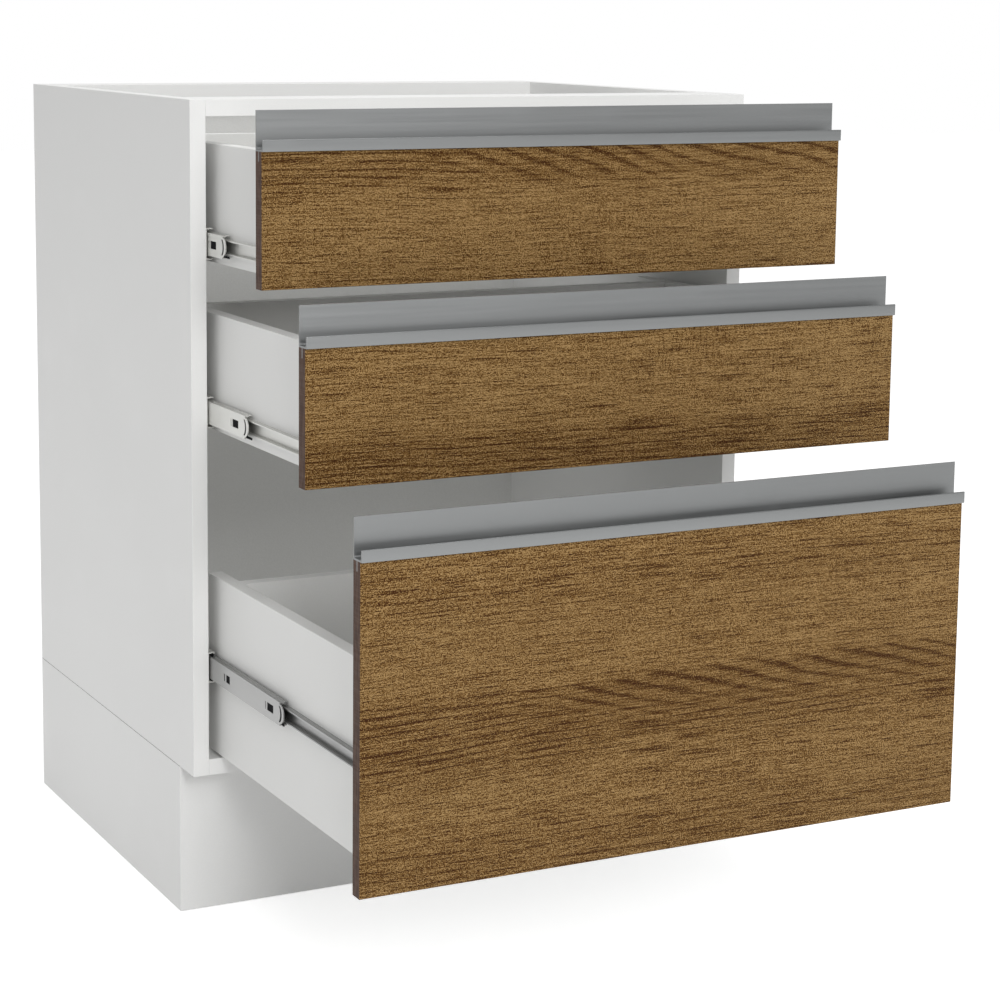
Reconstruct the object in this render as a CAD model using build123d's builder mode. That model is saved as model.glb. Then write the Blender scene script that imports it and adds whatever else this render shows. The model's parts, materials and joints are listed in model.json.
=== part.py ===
from build123d import *
import os
from dataclasses import dataclass
from math import cos, radians, sin

# A kitchen base cabinet with three drawers, standing on its own recessed plinth.
# Millimetres. X runs across the width and +Z is up. The origin is where the floor
# meets the wall, half way along the cabinet, so the cabinet stands at y <= 0 and its
# drawers open towards -Y. The drawers are drawn as far out as the openings below say.

# ---------------------------------------------------------------- driving sizes
# Carcass
cabinet_width = 700
cabinet_depth = 560
body_height = 746
board = 18
front_rail_depth = 70
back_rail_depth = 60
back_panel_thickness = 3
back_panel_inset = 16
panel_groove_depth = 7
groove_play = 0.2

# Plinth
plinth_height = 170
plinth_board = 18
toe_recess = 45
corner_block = 40
corner_block_height = 50

# Dowels between the carcass boards
dowel_radius = 4
dowel_length = 34
dowel_in_side = 12
dowel_play = 0.1
dowel_end_play = 0.5
bottom_dowel_inset = 60
rail_dowel_inset = 14

# Cam fittings that pull the boards together, and the bolts they turn on
cam_radius = 7.5
cam_depth = 12.5
cam_sides = 8
cam_slot_width = 1.6
cam_slot_depth = 2
cam_play = 0.1
cam_bolt_end_play = 0.3
cam_inset = 34
cam_past_dowel = 18
cam_bolt_radius = 3
cam_bolt_in_side = 11

# Worktop screw holes in the two rails
worktop_hole_radius = 2.5
worktop_hole_spacing = 500

# Drawer fronts
front_board = 16
front_side_reveal = 2
top_reveal = 4
bottom_reveal = 6
front_gap = 4
small_front_height = 180
front_standoff = 1
front_arris = 0.5

# Handle profile along the top edge of each front
flange_height = 41
flange_thickness = 1.5
web_thickness = 1.8
lip_height = 12
lip_thickness = 2.2
lip_reach = 3.5
rib_depth = 10
rib_thickness = 1.6
rib_play = 0.1
profile_inner_radius = 2.5
lip_top_radius = 1.0

# Drawer boxes
box_board = 16
box_back_inset = 52
box_bottom_thickness = 8
box_bottom_rise = 12
box_groove_depth = 7
housing_depth = 5
joint_play = 0.1
box_dowel_length = 30
box_dowel_in_side = 11
box_dowel_top_inset = 28
box_dowel_bottom_inset = 42
small_box_height = 128
deep_box_height = 200
small_box_below_front_top = 3
deep_box_above_floor = 4

# Telescopic ball-bearing runners: three rolled channels, one inside the other
runner_length = 450
runner_setback = 2
runner_height = 35
runner_sheet = 1.2
ball_radius = 2
ball_play = 0.3
race_half_angle = 37.5
race_facets = 3
race_corner = 0.1
runner_lip = 1.2
runner_side_play = 0.5
cage_sheet = 0.4
cage_play = 0.3
cage_arm_past_ball = 0.3
cage_setback = 118
balls_per_row = 3
ball_pitch = 24
ball_hole_play = 0.1
small_runner_above_box_floor = 21
deep_runner_above_box_floor = 100
middle_nose = 10
middle_nose_half_height = 10.5
nose_facets = 5
middle_window_length = 16.5
middle_window_height = 8.5
middle_window_setback = 35
middle_slot_length = 14
middle_slot_height = 5
middle_slot_setback = 188

# Screws
runner_screw_setback = 35
runner_screw_pitch = 288
runner_screw_radius = 1.6
runner_screw_head_radius = 2.9
runner_screw_depth = 12
runner_screw_wall = 1.5
pan_head_radius = 3
pan_head_height = 1.8
front_screw_radius = 2
front_screw_head_radius = 3.8
front_screw_grip = 12
front_screw_side_inset = 60
front_screw_edge_inset = 35
plinth_screw_grip = 12
screw_play = 0.1
screw_end_play = 0.4
head_sides = 6
hidden_sides = 6
ball_sides = 5

# How far each drawer stands open, and how far its middle runner trails half way
upper_opening = 180
centre_opening = 290
deep_opening = 420
upper_lag = 37
centre_lag = 30
deep_lag = 0

# ---------------------------------------------------------------- places worked out
side_x = cabinet_width / 2
inner_x = side_x - board
front_y = -cabinet_depth
body_top = plinth_height + body_height
floor_top = plinth_height + board
rail_bottom = body_top - board
plinth_front_y = front_y + toe_recess
groove_y = -(back_panel_inset + back_panel_thickness / 2)
front_width = cabinet_width - 2 * front_side_reveal

race_radius = ball_radius + ball_play + runner_sheet / 2
race_u = race_radius * sin(radians(race_half_angle))
race_v = race_radius * cos(radians(race_half_angle))
outer_cage_u = runner_sheet + cage_play + cage_sheet / 2
middle_web_u = outer_cage_u + cage_sheet / 2 + cage_play + runner_sheet / 2
inner_cage_u = middle_web_u + runner_sheet / 2 + cage_play + cage_sheet / 2
outer_ball_u = middle_web_u + runner_sheet / 2 + race_corner + race_u
outer_ball_v = runner_height / 2 - runner_sheet / 2 - race_radius
inner_ball_u = outer_ball_u + 2 * race_u
inner_ball_v = outer_ball_v - 2 * race_v
race_tip_u = inner_ball_u + race_u + race_v / race_radius * runner_sheet / 2
runner_gap = race_tip_u + runner_side_play + runner_sheet
drawer_web_u = runner_gap - runner_sheet / 2
inner_arm_v = (outer_ball_v - race_radius + inner_ball_v - race_v) / 2
cage_length = balls_per_row * ball_pitch
box_depth = runner_setback + runner_length + front_standoff
box_outer_x = inner_x - runner_gap
box_inner_x = box_outer_x - box_board
drawer_screw_depth = box_board - box_groove_depth - runner_screw_wall


@dataclass
class Drawer:
    """One drawer: its front's lowest and highest edge, its box and how it stands."""

    name: str
    front_bottom: float
    front_top: float
    box_bottom: float
    box_height: float
    runner_rise: float
    opening: float
    lag: float

    @property
    def wood_top(self):
        return self.front_top - flange_height

    @property
    def box_top(self):
        return self.box_bottom + self.box_height

    @property
    def runner_z(self):
        return self.box_bottom + self.runner_rise

    @property
    def box_front_y(self):
        """The plane where the box meets the back of its decorated front."""
        return front_y - front_standoff - self.opening

    @property
    def box_back_y(self):
        """The front face of the box's back board."""
        return self.box_front_y + box_depth - box_back_inset - box_board


upper_top = body_top - top_reveal
centre_top = upper_top - small_front_height - front_gap
deep_top = centre_top - small_front_height - front_gap


def small_drawer(name, front_top, opening, lag):
    """A small drawer, whose box hangs a little under the top of its wooden front."""
    box_top = front_top - flange_height - small_box_below_front_top
    return Drawer(
        name,
        front_top - small_front_height,
        front_top,
        box_top - small_box_height,
        small_box_height,
        small_runner_above_box_floor,
        opening,
        lag,
    )


upper = small_drawer("upper", upper_top, upper_opening, upper_lag)
centre = small_drawer("centre", centre_top, centre_opening, centre_lag)
deep = Drawer(
    "deep",
    plinth_height + bottom_reveal,
    deep_top,
    floor_top + deep_box_above_floor,
    deep_box_height,
    deep_runner_above_box_floor,
    deep_opening,
    deep_lag,
)
drawers = (upper, centre, deep)
hands = (("left", -1), ("right", 1))


# ---------------------------------------------------------------- shared operations
os.makedirs("parts", exist_ok=True)


def keep(piece, name):
    """Label a finished piece and write it to its own file."""
    piece.part.label = name
    export_step(piece.part, f"parts/{name}.step")


def block(x_span, y_span, z_span, mode=Mode.ADD):
    """A rectangular block between two corners, drawn on its underside and raised."""
    with BuildSketch(Plane.XY.offset(z_span[0])) as underside:
        with Locations((sum(x_span) / 2, sum(y_span) / 2)):
            Rectangle(x_span[1] - x_span[0], y_span[1] - y_span[0])
    extrude(underside.sketch, amount=z_span[1] - z_span[0], mode=mode)


def peg(plane, places, radius, length, mode=Mode.ADD, sides=hidden_sides, taper=0):
    """Straight or tapered many-sided pegs or holes, one at each place of the plane."""
    with BuildSketch(plane) as ends:
        with Locations(*places):
            RegularPolygon(radius, sides, rotation=180 / sides)
    extrude(ends.sketch, amount=length, taper=taper, mode=mode)


# ---------------------------------------------------------------- carcass boards
rail_z = body_top - board / 2
floor_z = plinth_height + board / 2
rail_dowel_ys = [front_y + rail_dowel_inset, rail_dowel_inset - back_rail_depth]
rail_cam_ys = [y + cam_past_dowel for y in rail_dowel_ys]
floor_dowel_ys = [front_y + bottom_dowel_inset, front_y / 2, -bottom_dowel_inset]
floor_cam_ys = [floor_dowel_ys[0] + cam_past_dowel, floor_dowel_ys[2] - cam_past_dowel]
dowel_places = [(y, rail_z) for y in rail_dowel_ys] + [(y, floor_z) for y in floor_dowel_ys]
bolt_places = [(y, rail_z) for y in rail_cam_ys] + [(y, floor_z) for y in floor_cam_ys]
runner_screw_ys = [
    front_y + runner_setback + runner_screw_setback + step * runner_screw_pitch for step in (0, 1)
]
cabinet_screw_places = [(y, d.runner_z) for d in drawers for y in runner_screw_ys]


def panel_groove(x_span, z_span):
    """The groove that the back panel stands in."""
    half = (back_panel_thickness + groove_play) / 2
    block(x_span, (groove_y - half, groove_y + half), z_span, Mode.SUBTRACT)


for hand_name, hand in hands:
    inner_face = Plane.YZ.offset(hand * inner_x)
    groove_x = sorted((hand * inner_x, hand * (inner_x + panel_groove_depth)))
    with BuildPart() as side_panel:
        block(sorted((hand * inner_x, hand * side_x)), (front_y, 0), (plinth_height, body_top))
        panel_groove(groove_x, (plinth_height, body_top))
        peg(
            inner_face,
            dowel_places,
            dowel_radius + dowel_play,
            hand * (dowel_in_side + dowel_end_play),
            Mode.SUBTRACT,
        )
        peg(
            inner_face,
            bolt_places,
            cam_bolt_radius + dowel_play,
            hand * (cam_bolt_in_side + dowel_end_play),
            Mode.SUBTRACT,
        )
        peg(
            inner_face,
            cabinet_screw_places,
            runner_screw_radius + screw_play,
            hand * (runner_screw_depth + screw_end_play),
            Mode.SUBTRACT,
        )
    keep(side_panel, f"side_panel_{hand_name}")


def joint_bores(dowel_ys, cam_ys, z):
    """The holes for dowels, bolts and cams in a board between the side panels."""
    in_board = dowel_length - dowel_in_side + dowel_end_play
    for _, hand in hands:
        end_face = Plane.YZ.offset(hand * inner_x)
        dowel_bore = dowel_radius + dowel_play
        bolt_bore = cam_bolt_radius + dowel_play
        peg(end_face, [(y, z) for y in dowel_ys], dowel_bore, -hand * in_board, Mode.SUBTRACT)
        peg(end_face, [(y, z) for y in cam_ys], bolt_bore, -hand * cam_inset, Mode.SUBTRACT)
    cam_places = [(hand * (inner_x - cam_inset), y) for _, hand in hands for y in cam_ys]
    underside = Plane.XY.offset(z - board / 2)
    peg(underside, cam_places, cam_radius + cam_play, cam_depth, Mode.SUBTRACT, cam_sides)


block_x = side_x - plinth_board - corner_block / 2
block_front_y = plinth_front_y + plinth_board + corner_block / 2
block_back_y = -plinth_board - corner_block / 2
block_places = [(s * block_x, y) for s in (-1, 1) for y in (block_front_y, block_back_y)]

with BuildPart() as bottom_panel:
    block((-inner_x, inner_x), (front_y, 0), (plinth_height, floor_top))
    panel_groove((-inner_x, inner_x), (floor_top - panel_groove_depth, floor_top))
    joint_bores(floor_dowel_ys, floor_cam_ys, floor_z)
    peg(
        Plane.XY.offset(plinth_height),
        block_places,
        front_screw_radius + screw_play,
        plinth_screw_grip + screw_end_play,
        Mode.SUBTRACT,
    )
keep(bottom_panel, "bottom_panel")


def rail(y_span, place, grooved):
    """A top rail lying flat between the side panels, with its worktop screw holes."""
    with BuildPart() as flat_rail:
        block((-inner_x, inner_x), y_span, (rail_bottom, body_top))
        if grooved:
            panel_groove((-inner_x, inner_x), (rail_bottom, rail_bottom + panel_groove_depth))
        joint_bores([rail_dowel_ys[place]], [rail_cam_ys[place]], rail_z)
        hole_places = [(s * worktop_hole_spacing / 2, sum(y_span) / 2) for s in (-1, 1)]
        with BuildSketch(Plane.XY.offset(rail_bottom)):
            with Locations(*hole_places):
                Circle(worktop_hole_radius)
        extrude(amount=board, mode=Mode.SUBTRACT)
    return flat_rail


keep(rail((front_y, front_y + front_rail_depth), 0, False), "front_rail")
keep(rail((-back_rail_depth, 0), 1, True), "back_rail")

tongue = panel_groove_depth - groove_play
with BuildPart() as back_panel:
    block(
        (-inner_x - tongue, inner_x + tongue),
        (groove_y - back_panel_thickness / 2, groove_y + back_panel_thickness / 2),
        (floor_top - tongue, rail_bottom + tongue),
    )
keep(back_panel, "back_panel")

with BuildPart() as carcass_dowels:
    for _, hand in hands:
        start = Plane.YZ.offset(hand * (inner_x + dowel_in_side))
        peg(start, dowel_places, dowel_radius, -hand * dowel_length)
keep(carcass_dowels, "carcass_dowels")

bolt_in_board = cam_inset - cam_radius - cam_bolt_end_play
with BuildPart() as cam_bolts:
    for _, hand in hands:
        start = Plane.YZ.offset(hand * (inner_x + cam_bolt_in_side))
        peg(start, bolt_places, cam_bolt_radius, -hand * (cam_bolt_in_side + bolt_in_board))
keep(cam_bolts, "cam_bolts")

with BuildPart() as cam_fittings:
    for cam_ys, z in ((rail_cam_ys, rail_z), (floor_cam_ys, floor_z)):
        places = [(hand * (inner_x - cam_inset), y) for _, hand in hands for y in cam_ys]
        underside = Plane.XY.offset(z - board / 2)
        peg(underside, places, cam_radius, cam_depth, sides=cam_sides)
        with BuildSketch(underside):
            with Locations(*places):
                Rectangle(cam_radius, cam_slot_width)
        extrude(amount=cam_slot_depth, mode=Mode.SUBTRACT)
keep(cam_fittings, "cam_fittings")

# ---------------------------------------------------------------- plinth
plinth_inner_y = plinth_front_y + plinth_board
plinth_inner_x = side_x - plinth_board

with BuildPart() as plinth_front:
    with BuildSketch(Plane.XY):
        with BuildLine():
            Polyline(
                (-side_x, plinth_front_y),
                (side_x, plinth_front_y),
                (plinth_inner_x, plinth_inner_y),
                (-plinth_inner_x, plinth_inner_y),
                close=True,
            )
        make_face()
    extrude(amount=plinth_height)
keep(plinth_front, "plinth_front")

for hand_name, hand in hands:
    with BuildPart() as plinth_side:
        with BuildSketch(Plane.XY):
            with BuildLine():
                Polyline(
                    (hand * side_x, 0),
                    (hand * side_x, plinth_front_y),
                    (hand * plinth_inner_x, plinth_inner_y),
                    (hand * plinth_inner_x, 0),
                    close=True,
                )
            make_face()
        extrude(amount=plinth_height)
    keep(plinth_side, f"plinth_side_{hand_name}")

with BuildPart() as plinth_back:
    block((-plinth_inner_x, plinth_inner_x), (-plinth_board, 0), (0, plinth_height))
keep(plinth_back, "plinth_back")

block_bottom = plinth_height - corner_block_height
with BuildPart() as plinth_corner_blocks:
    with BuildSketch(Plane.XY.offset(block_bottom)):
        with Locations(*block_places):
            Rectangle(corner_block, corner_block)
    extrude(amount=corner_block_height)
    bore = front_screw_radius + screw_play
    peg(Plane.XY.offset(block_bottom), block_places, bore, corner_block_height, Mode.SUBTRACT)
keep(plinth_corner_blocks, "plinth_corner_blocks")

with BuildPart() as plinth_screws:
    shank = corner_block_height + plinth_screw_grip
    peg(Plane.XY.offset(block_bottom), block_places, front_screw_radius, shank)
    head = Plane.XY.offset(block_bottom - pan_head_height)
    peg(head, block_places, front_screw_head_radius, pan_head_height, sides=head_sides)
keep(plinth_screws, "plinth_screws")


# ---------------------------------------------------------------- telescopic runners
def channel_plane(front_end, length, z):
    """The rear end of a left-hand runner piece: x from the side panel, y up from z."""
    return Plane(origin=(-inner_x, front_end + length, z), x_dir=(1, 0, 0), z_dir=(0, -1, 0))


def race(ball_u, ball_v, over):
    """The rolled stretch that runs over (1) or under (-1) a row of balls."""
    turns = [2 * step / race_facets - 1 for step in range(race_facets + 1)]
    return [
        (
            ball_u + race_radius * sin(radians(turn * race_half_angle)),
            ball_v + over * race_radius * cos(radians(turn * race_half_angle)),
        )
        for turn in turns
    ]


def rolled(plane, points, thickness, length):
    """A strip bent along the points and, mirrored, along their lower half as well."""
    with BuildSketch(plane) as section:
        with BuildLine():
            Polyline(*points)
        trace(line_width=thickness)
        mirror(about=Plane.XZ)
    extrude(section.sketch, amount=length)


cabinet_rim_v = outer_ball_v + race_v
drawer_rim_v = inner_ball_v - race_v
cabinet_section = [
    (runner_sheet / 2, 0),
    (runner_sheet / 2, cabinet_rim_v),
    *race(outer_ball_u, outer_ball_v, 1),
    (outer_ball_u + race_u + runner_lip, cabinet_rim_v),
]
middle_section = [
    (middle_web_u, 0),
    (middle_web_u, outer_ball_v - race_v),
    *race(outer_ball_u, outer_ball_v, -1),
    *race(inner_ball_u, inner_ball_v, 1)[1:],
]
drawer_section = [
    (drawer_web_u, 0),
    (drawer_web_u, drawer_rim_v),
    *reversed(race(inner_ball_u, inner_ball_v, -1)),
    (inner_ball_u - race_u - runner_lip, drawer_rim_v),
]


def screw_ys(front_end):
    """Where the two screws of a runner piece stand, measured back from its front end."""
    return [front_end + runner_screw_setback + step * runner_screw_pitch for step in (0, 1)]


def countersunk(z_list, y_list, play, depth, mode=Mode.ADD):
    """Flush screws through the cabinet channels: a sunk head on a straight shank."""
    places = [(y, z) for z in z_list for y in y_list]
    mouth = Plane.YZ.offset(runner_sheet - inner_x)
    head_radius = runner_screw_head_radius + play
    narrowing = 45
    peg(mouth, places, head_radius, -runner_sheet, mode, taper=narrowing)
    if depth:
        peg(Plane.YZ.offset(-inner_x), places, runner_screw_radius + play, -depth, mode)


channel_front = front_y + runner_setback
channel_zs = [d.runner_z for d in drawers]

with BuildPart() as cabinet_channels:
    for d in drawers:
        rear = channel_plane(channel_front, runner_length, d.runner_z)
        rolled(rear, cabinet_section, runner_sheet, runner_length)
    countersunk(channel_zs, screw_ys(channel_front), screw_play, 0, Mode.SUBTRACT)
    mirror(about=Plane.YZ)
keep(cabinet_channels, "cabinet_channels")

with BuildPart() as cabinet_channel_screws:
    countersunk(channel_zs, screw_ys(channel_front), 0, runner_screw_depth)
    mirror(about=Plane.YZ)
keep(cabinet_channel_screws, "cabinet_channel_screws")


def nose_outline(front_end, level):
    """The rounded front end of a middle web, as (y, z) points around half an ellipse."""
    turns = [radians(180 * step / nose_facets - 90) for step in range(nose_facets + 1)]
    return [
        (
            front_end + middle_nose - middle_nose * cos(turn),
            level + middle_nose_half_height * sin(turn),
        )
        for turn in turns
    ]


def middle_channels(d):
    """The middle channels of a drawer's pair of runners, half as far out as the drawer."""
    front_end = channel_front + d.lag - d.opening / 2
    with BuildPart() as channels:
        rear = channel_plane(front_end, runner_length, d.runner_z)
        rolled(rear, middle_section, runner_sheet, runner_length - middle_nose)
        web = Plane.YZ.offset(middle_web_u - runner_sheet / 2 - inner_x)
        with BuildSketch(web):
            with BuildLine():
                Polyline(*nose_outline(front_end, d.runner_z), close=True)
            make_face()
        extrude(amount=runner_sheet)
        with BuildSketch(web):
            with Locations((front_end + middle_window_setback, d.runner_z)):
                Rectangle(middle_window_length, middle_window_height)
            with Locations((front_end + middle_slot_setback, d.runner_z)):
                Rectangle(middle_slot_length, middle_slot_height)
        extrude(amount=runner_sheet, mode=Mode.SUBTRACT)
        mirror(about=Plane.YZ)
    return channels


# One ball: two five-sided tapers back to back, with every corner inside the real ball
with BuildPart() as ball:
    with BuildSketch(Plane.XY) as equator:
        RegularPolygon(ball_radius, ball_sides, rotation=180 / ball_sides)
    half_ball = ball_radius * cos(radians(180 / ball_sides))
    extrude(equator.sketch, amount=half_ball, taper=180 / ball_sides)
    extrude(equator.sketch, amount=-half_ball, taper=180 / ball_sides)


def ball_cages(d, web_u, arm_v, ball_u, ball_v, front_end):
    """A pair of cages: a thin bent strip whose two arms hold the rows of balls."""
    tip_u = ball_u + ball_radius + cage_arm_past_ball
    ys = [front_end + ball_pitch * (step + 1 / 2) for step in range(balls_per_row)]
    with BuildPart() as cages:
        rolled(
            channel_plane(front_end, cage_length, d.runner_z),
            [(web_u, 0), (web_u, arm_v), (tip_u, arm_v)],
            cage_sheet,
            cage_length,
        )
        pocket = 2 * (ball_radius + ball_hole_play)
        with BuildSketch(Plane.XY.offset(d.runner_z - runner_height / 2)):
            with Locations(*[(ball_u - inner_x, y) for y in ys]):
                Rectangle(pocket, pocket)
        extrude(amount=runner_height, mode=Mode.SUBTRACT)
        with Locations(*[(ball_u - inner_x, y, d.runner_z + s * ball_v) for s in (-1, 1) for y in ys]):
            add(ball.part)
        mirror(about=Plane.YZ)
    return cages


for d in drawers:
    keep(middle_channels(d), f"{d.name}_middle_channels")
    cage_front = channel_front + cage_setback
    outer_front = cage_front - d.opening / 4
    inner_front = cage_front + d.lag - d.opening * 3 / 4
    outer_cages = ball_cages(d, outer_cage_u, outer_ball_v, outer_ball_u, outer_ball_v, outer_front)
    inner_cages = ball_cages(d, inner_cage_u, inner_arm_v, inner_ball_u, inner_ball_v, inner_front)
    keep(outer_cages, f"{d.name}_outer_ball_cages")
    keep(inner_cages, f"{d.name}_inner_ball_cages")


def drawer_channels(d):
    """The channels screwed to the sides of a drawer box."""
    front_end = channel_front - d.opening
    places = [(y, d.runner_z) for y in screw_ys(front_end)]
    with BuildPart() as channels:
        rear = channel_plane(front_end, runner_length, d.runner_z)
        rolled(rear, drawer_section, runner_sheet, runner_length)
        web = Plane.YZ.offset(-box_outer_x)
        peg(web, places, runner_screw_radius + screw_play, -runner_sheet, Mode.SUBTRACT)
        mirror(about=Plane.YZ)
    return channels


def drawer_channel_screws(d):
    """The pan-head screws that hold those channels."""
    places = [(y, d.runner_z) for y in screw_ys(channel_front - d.opening)]
    shank = runner_sheet + drawer_screw_depth
    with BuildPart() as screws:
        seat = Plane.YZ.offset(-box_outer_x - runner_sheet)
        peg(seat, places, runner_screw_radius, shank)
        peg(seat, places, pan_head_radius, -pan_head_height, sides=head_sides)
        mirror(about=Plane.YZ)
    return screws


# ---------------------------------------------------------------- drawer fronts
def front_screw_places(d):
    """Where the screws from the box into its front stand, as (x, -z)."""
    x = box_inner_x - front_screw_side_inset
    heights = (d.box_bottom + front_screw_edge_inset, d.box_top - front_screw_edge_inset)
    return [(s * x, z) for s in (-1, 1) for z in heights]


def front_plane(y):
    """An upright plane at y, seen from the front: x to the right and z up."""
    return Plane(origin=(0, y, 0), x_dir=(1, 0, 0), z_dir=(0, -1, 0))


def front_panel(d):
    """The decorated board of a drawer front, with a kerf along the top for the handle."""
    back = d.box_front_y
    face = back - front_board
    kerf_half = rib_thickness / 2 + rib_play
    middle_y = back - front_board / 2
    with BuildPart() as panel:
        block((-front_width / 2, front_width / 2), (face, back), (d.front_bottom, d.wood_top))
        outline = panel.faces().sort_by(Axis.Y)[0].edges()
        chamfer(outline.sort_by(Axis.Z)[:-1], front_arris)
        block(
            (-front_width / 2, front_width / 2),
            (middle_y - kerf_half, middle_y + kerf_half),
            (d.wood_top - rib_depth - rib_play, d.wood_top),
            Mode.SUBTRACT,
        )
        pilot = front_screw_radius + screw_play
        pilot_depth = front_screw_grip + screw_end_play
        peg(front_plane(back), front_screw_places(d), pilot, pilot_depth, Mode.SUBTRACT)
    return panel


def handle_profile(d):
    """The aluminium profile: a lip to pull, a web, a tall flange and a rib in the kerf."""
    back = d.box_front_y
    face = back - front_board
    lip_front = face - lip_reach
    web_top = d.wood_top + web_thickness
    rib_y = back - front_board / 2
    with BuildPart() as profile:
        with BuildSketch(Plane.YZ.offset(-front_width / 2)) as section:
            with BuildLine():
                Polyline(
                    (back, d.wood_top),
                    (back, d.front_top),
                    (back - flange_thickness, d.front_top),
                    (back - flange_thickness, web_top),
                    (lip_front + lip_thickness, web_top),
                    (lip_front + lip_thickness, d.wood_top + lip_height),
                    (lip_front, d.wood_top + lip_height),
                    (lip_front, d.wood_top),
                    close=True,
                )
            make_face()
            inner = section.vertices().filter_by(lambda v: abs(v.Z - web_top) < rib_play)
            fillet(inner, profile_inner_radius)
            rim = section.vertices().filter_by(
                lambda v: abs(v.Z - d.wood_top - lip_height) < rib_play
            )
            fillet(rim, lip_top_radius)
            with Locations((rib_y, d.wood_top - rib_depth / 2)):
                Rectangle(rib_thickness, rib_depth)
        extrude(amount=front_width)
    return profile


# ---------------------------------------------------------------- drawer boxes
def box_groove(d, x_span, y_span):
    """The groove that holds the bottom of a drawer box."""
    low = d.box_bottom + box_bottom_rise
    z_span = (low - joint_play, low + box_bottom_thickness + joint_play)
    block(x_span, y_span, z_span, Mode.SUBTRACT)


def box_dowel_places(d):
    """Where the dowels at the front corners of a box stand, as (y, z)."""
    y = d.box_front_y + box_board / 2
    return [(y, d.box_bottom + box_dowel_bottom_inset), (y, d.box_top - box_dowel_top_inset)]


def box_side(d, hand):
    """One side of a box: grooved, housed for the back, bored for dowels and screws."""
    inner_face = Plane.YZ.offset(hand * box_inner_x)
    outer_face = Plane.YZ.offset(hand * box_outer_x)
    ends = (d.box_front_y, d.box_front_y + box_depth)
    back_span = (d.box_back_y - joint_play, d.box_back_y + box_board + joint_play)
    floor_z = d.box_bottom + box_bottom_rise + box_bottom_thickness
    screw_places = [(y, d.runner_z) for y in screw_ys(channel_front - d.opening)]
    with BuildPart() as side:
        block(sorted((hand * box_inner_x, hand * box_outer_x)), ends, (d.box_bottom, d.box_top))
        box_groove(d, sorted((hand * box_inner_x, hand * (box_inner_x + box_groove_depth))), ends)
        block(
            sorted((hand * box_inner_x, hand * (box_inner_x + housing_depth))),
            back_span,
            (floor_z, d.box_top),
            Mode.SUBTRACT,
        )
        peg(
            inner_face,
            box_dowel_places(d),
            dowel_radius + dowel_play,
            hand * (box_dowel_in_side + dowel_end_play),
            Mode.SUBTRACT,
        )
        peg(
            outer_face,
            screw_places,
            runner_screw_radius + screw_play,
            -hand * (drawer_screw_depth + screw_end_play),
            Mode.SUBTRACT,
        )
    return side


def box_front(d):
    """The inner front of a box, bored for its dowels and for the screws to the front."""
    ends = (d.box_front_y, d.box_front_y + box_board)
    in_board = box_dowel_length - box_dowel_in_side + dowel_end_play
    with BuildPart() as inner_front:
        block((-box_inner_x, box_inner_x), ends, (d.box_bottom, d.box_top))
        box_groove(d, (-box_inner_x, box_inner_x), (ends[1] - box_groove_depth, ends[1]))
        for _, hand in hands:
            end_face = Plane.YZ.offset(hand * box_inner_x)
            bore = dowel_radius + dowel_play
            peg(end_face, box_dowel_places(d), bore, -hand * in_board, Mode.SUBTRACT)
        pilot = front_screw_radius + screw_play
        peg(front_plane(ends[1]), front_screw_places(d), pilot, box_board, Mode.SUBTRACT)
    return inner_front


def box_back(d):
    """The back of a box, standing on its bottom between the two sides."""
    half = box_inner_x + housing_depth - joint_play
    floor_z = d.box_bottom + box_bottom_rise + box_bottom_thickness
    with BuildPart() as back:
        block((-half, half), (d.box_back_y, d.box_back_y + box_board), (floor_z, d.box_top))
    return back


def box_bottom(d):
    """The bottom of a box, slid forward in its grooves."""
    half = box_inner_x + box_groove_depth - joint_play
    low = d.box_bottom + box_bottom_rise
    front_end = d.box_front_y + box_board - box_groove_depth + joint_play
    with BuildPart() as bottom:
        block((-half, half), (front_end, d.box_back_y + box_board), (low, low + box_bottom_thickness))
    return bottom


def box_dowels(d):
    """The dowels of the front corners of a box."""
    with BuildPart() as dowels:
        for _, hand in hands:
            start = Plane.YZ.offset(hand * (box_inner_x + box_dowel_in_side))
            peg(start, box_dowel_places(d), dowel_radius, -hand * box_dowel_length)
    return dowels


def front_screws(d):
    """The pan-head screws from inside the box into its front."""
    seat = front_plane(d.box_front_y + box_board)
    with BuildPart() as screws:
        shank = box_board + front_screw_grip
        peg(seat, front_screw_places(d), front_screw_radius, shank)
        head = front_screw_head_radius
        peg(seat, front_screw_places(d), head, -pan_head_height, sides=head_sides)
    return screws


for d in drawers:
    keep(front_panel(d), f"{d.name}_front_panel")
    keep(handle_profile(d), f"{d.name}_handle_profile")
    keep(front_screws(d), f"{d.name}_front_screws")
    for hand_name, hand in hands:
        keep(box_side(d, hand), f"{d.name}_box_side_{hand_name}")
    keep(box_front(d), f"{d.name}_box_front")
    keep(box_back(d), f"{d.name}_box_back")
    keep(box_bottom(d), f"{d.name}_box_bottom")
    keep(box_dowels(d), f"{d.name}_box_dowels")
    keep(drawer_channels(d), f"{d.name}_drawer_channels")
    keep(drawer_channel_screws(d), f"{d.name}_drawer_channel_screws")
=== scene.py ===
"""Dresses the base cabinet with drawers: board coatings, wood decor, aluminium and runners.

Everything is in metres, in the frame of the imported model: X across the cabinet, +Y
towards the wall, +Z up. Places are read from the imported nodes, so pieces sit where
the solids are.
"""

import json
import logging
from dataclasses import dataclass
from enum import Enum
from math import radians

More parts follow.
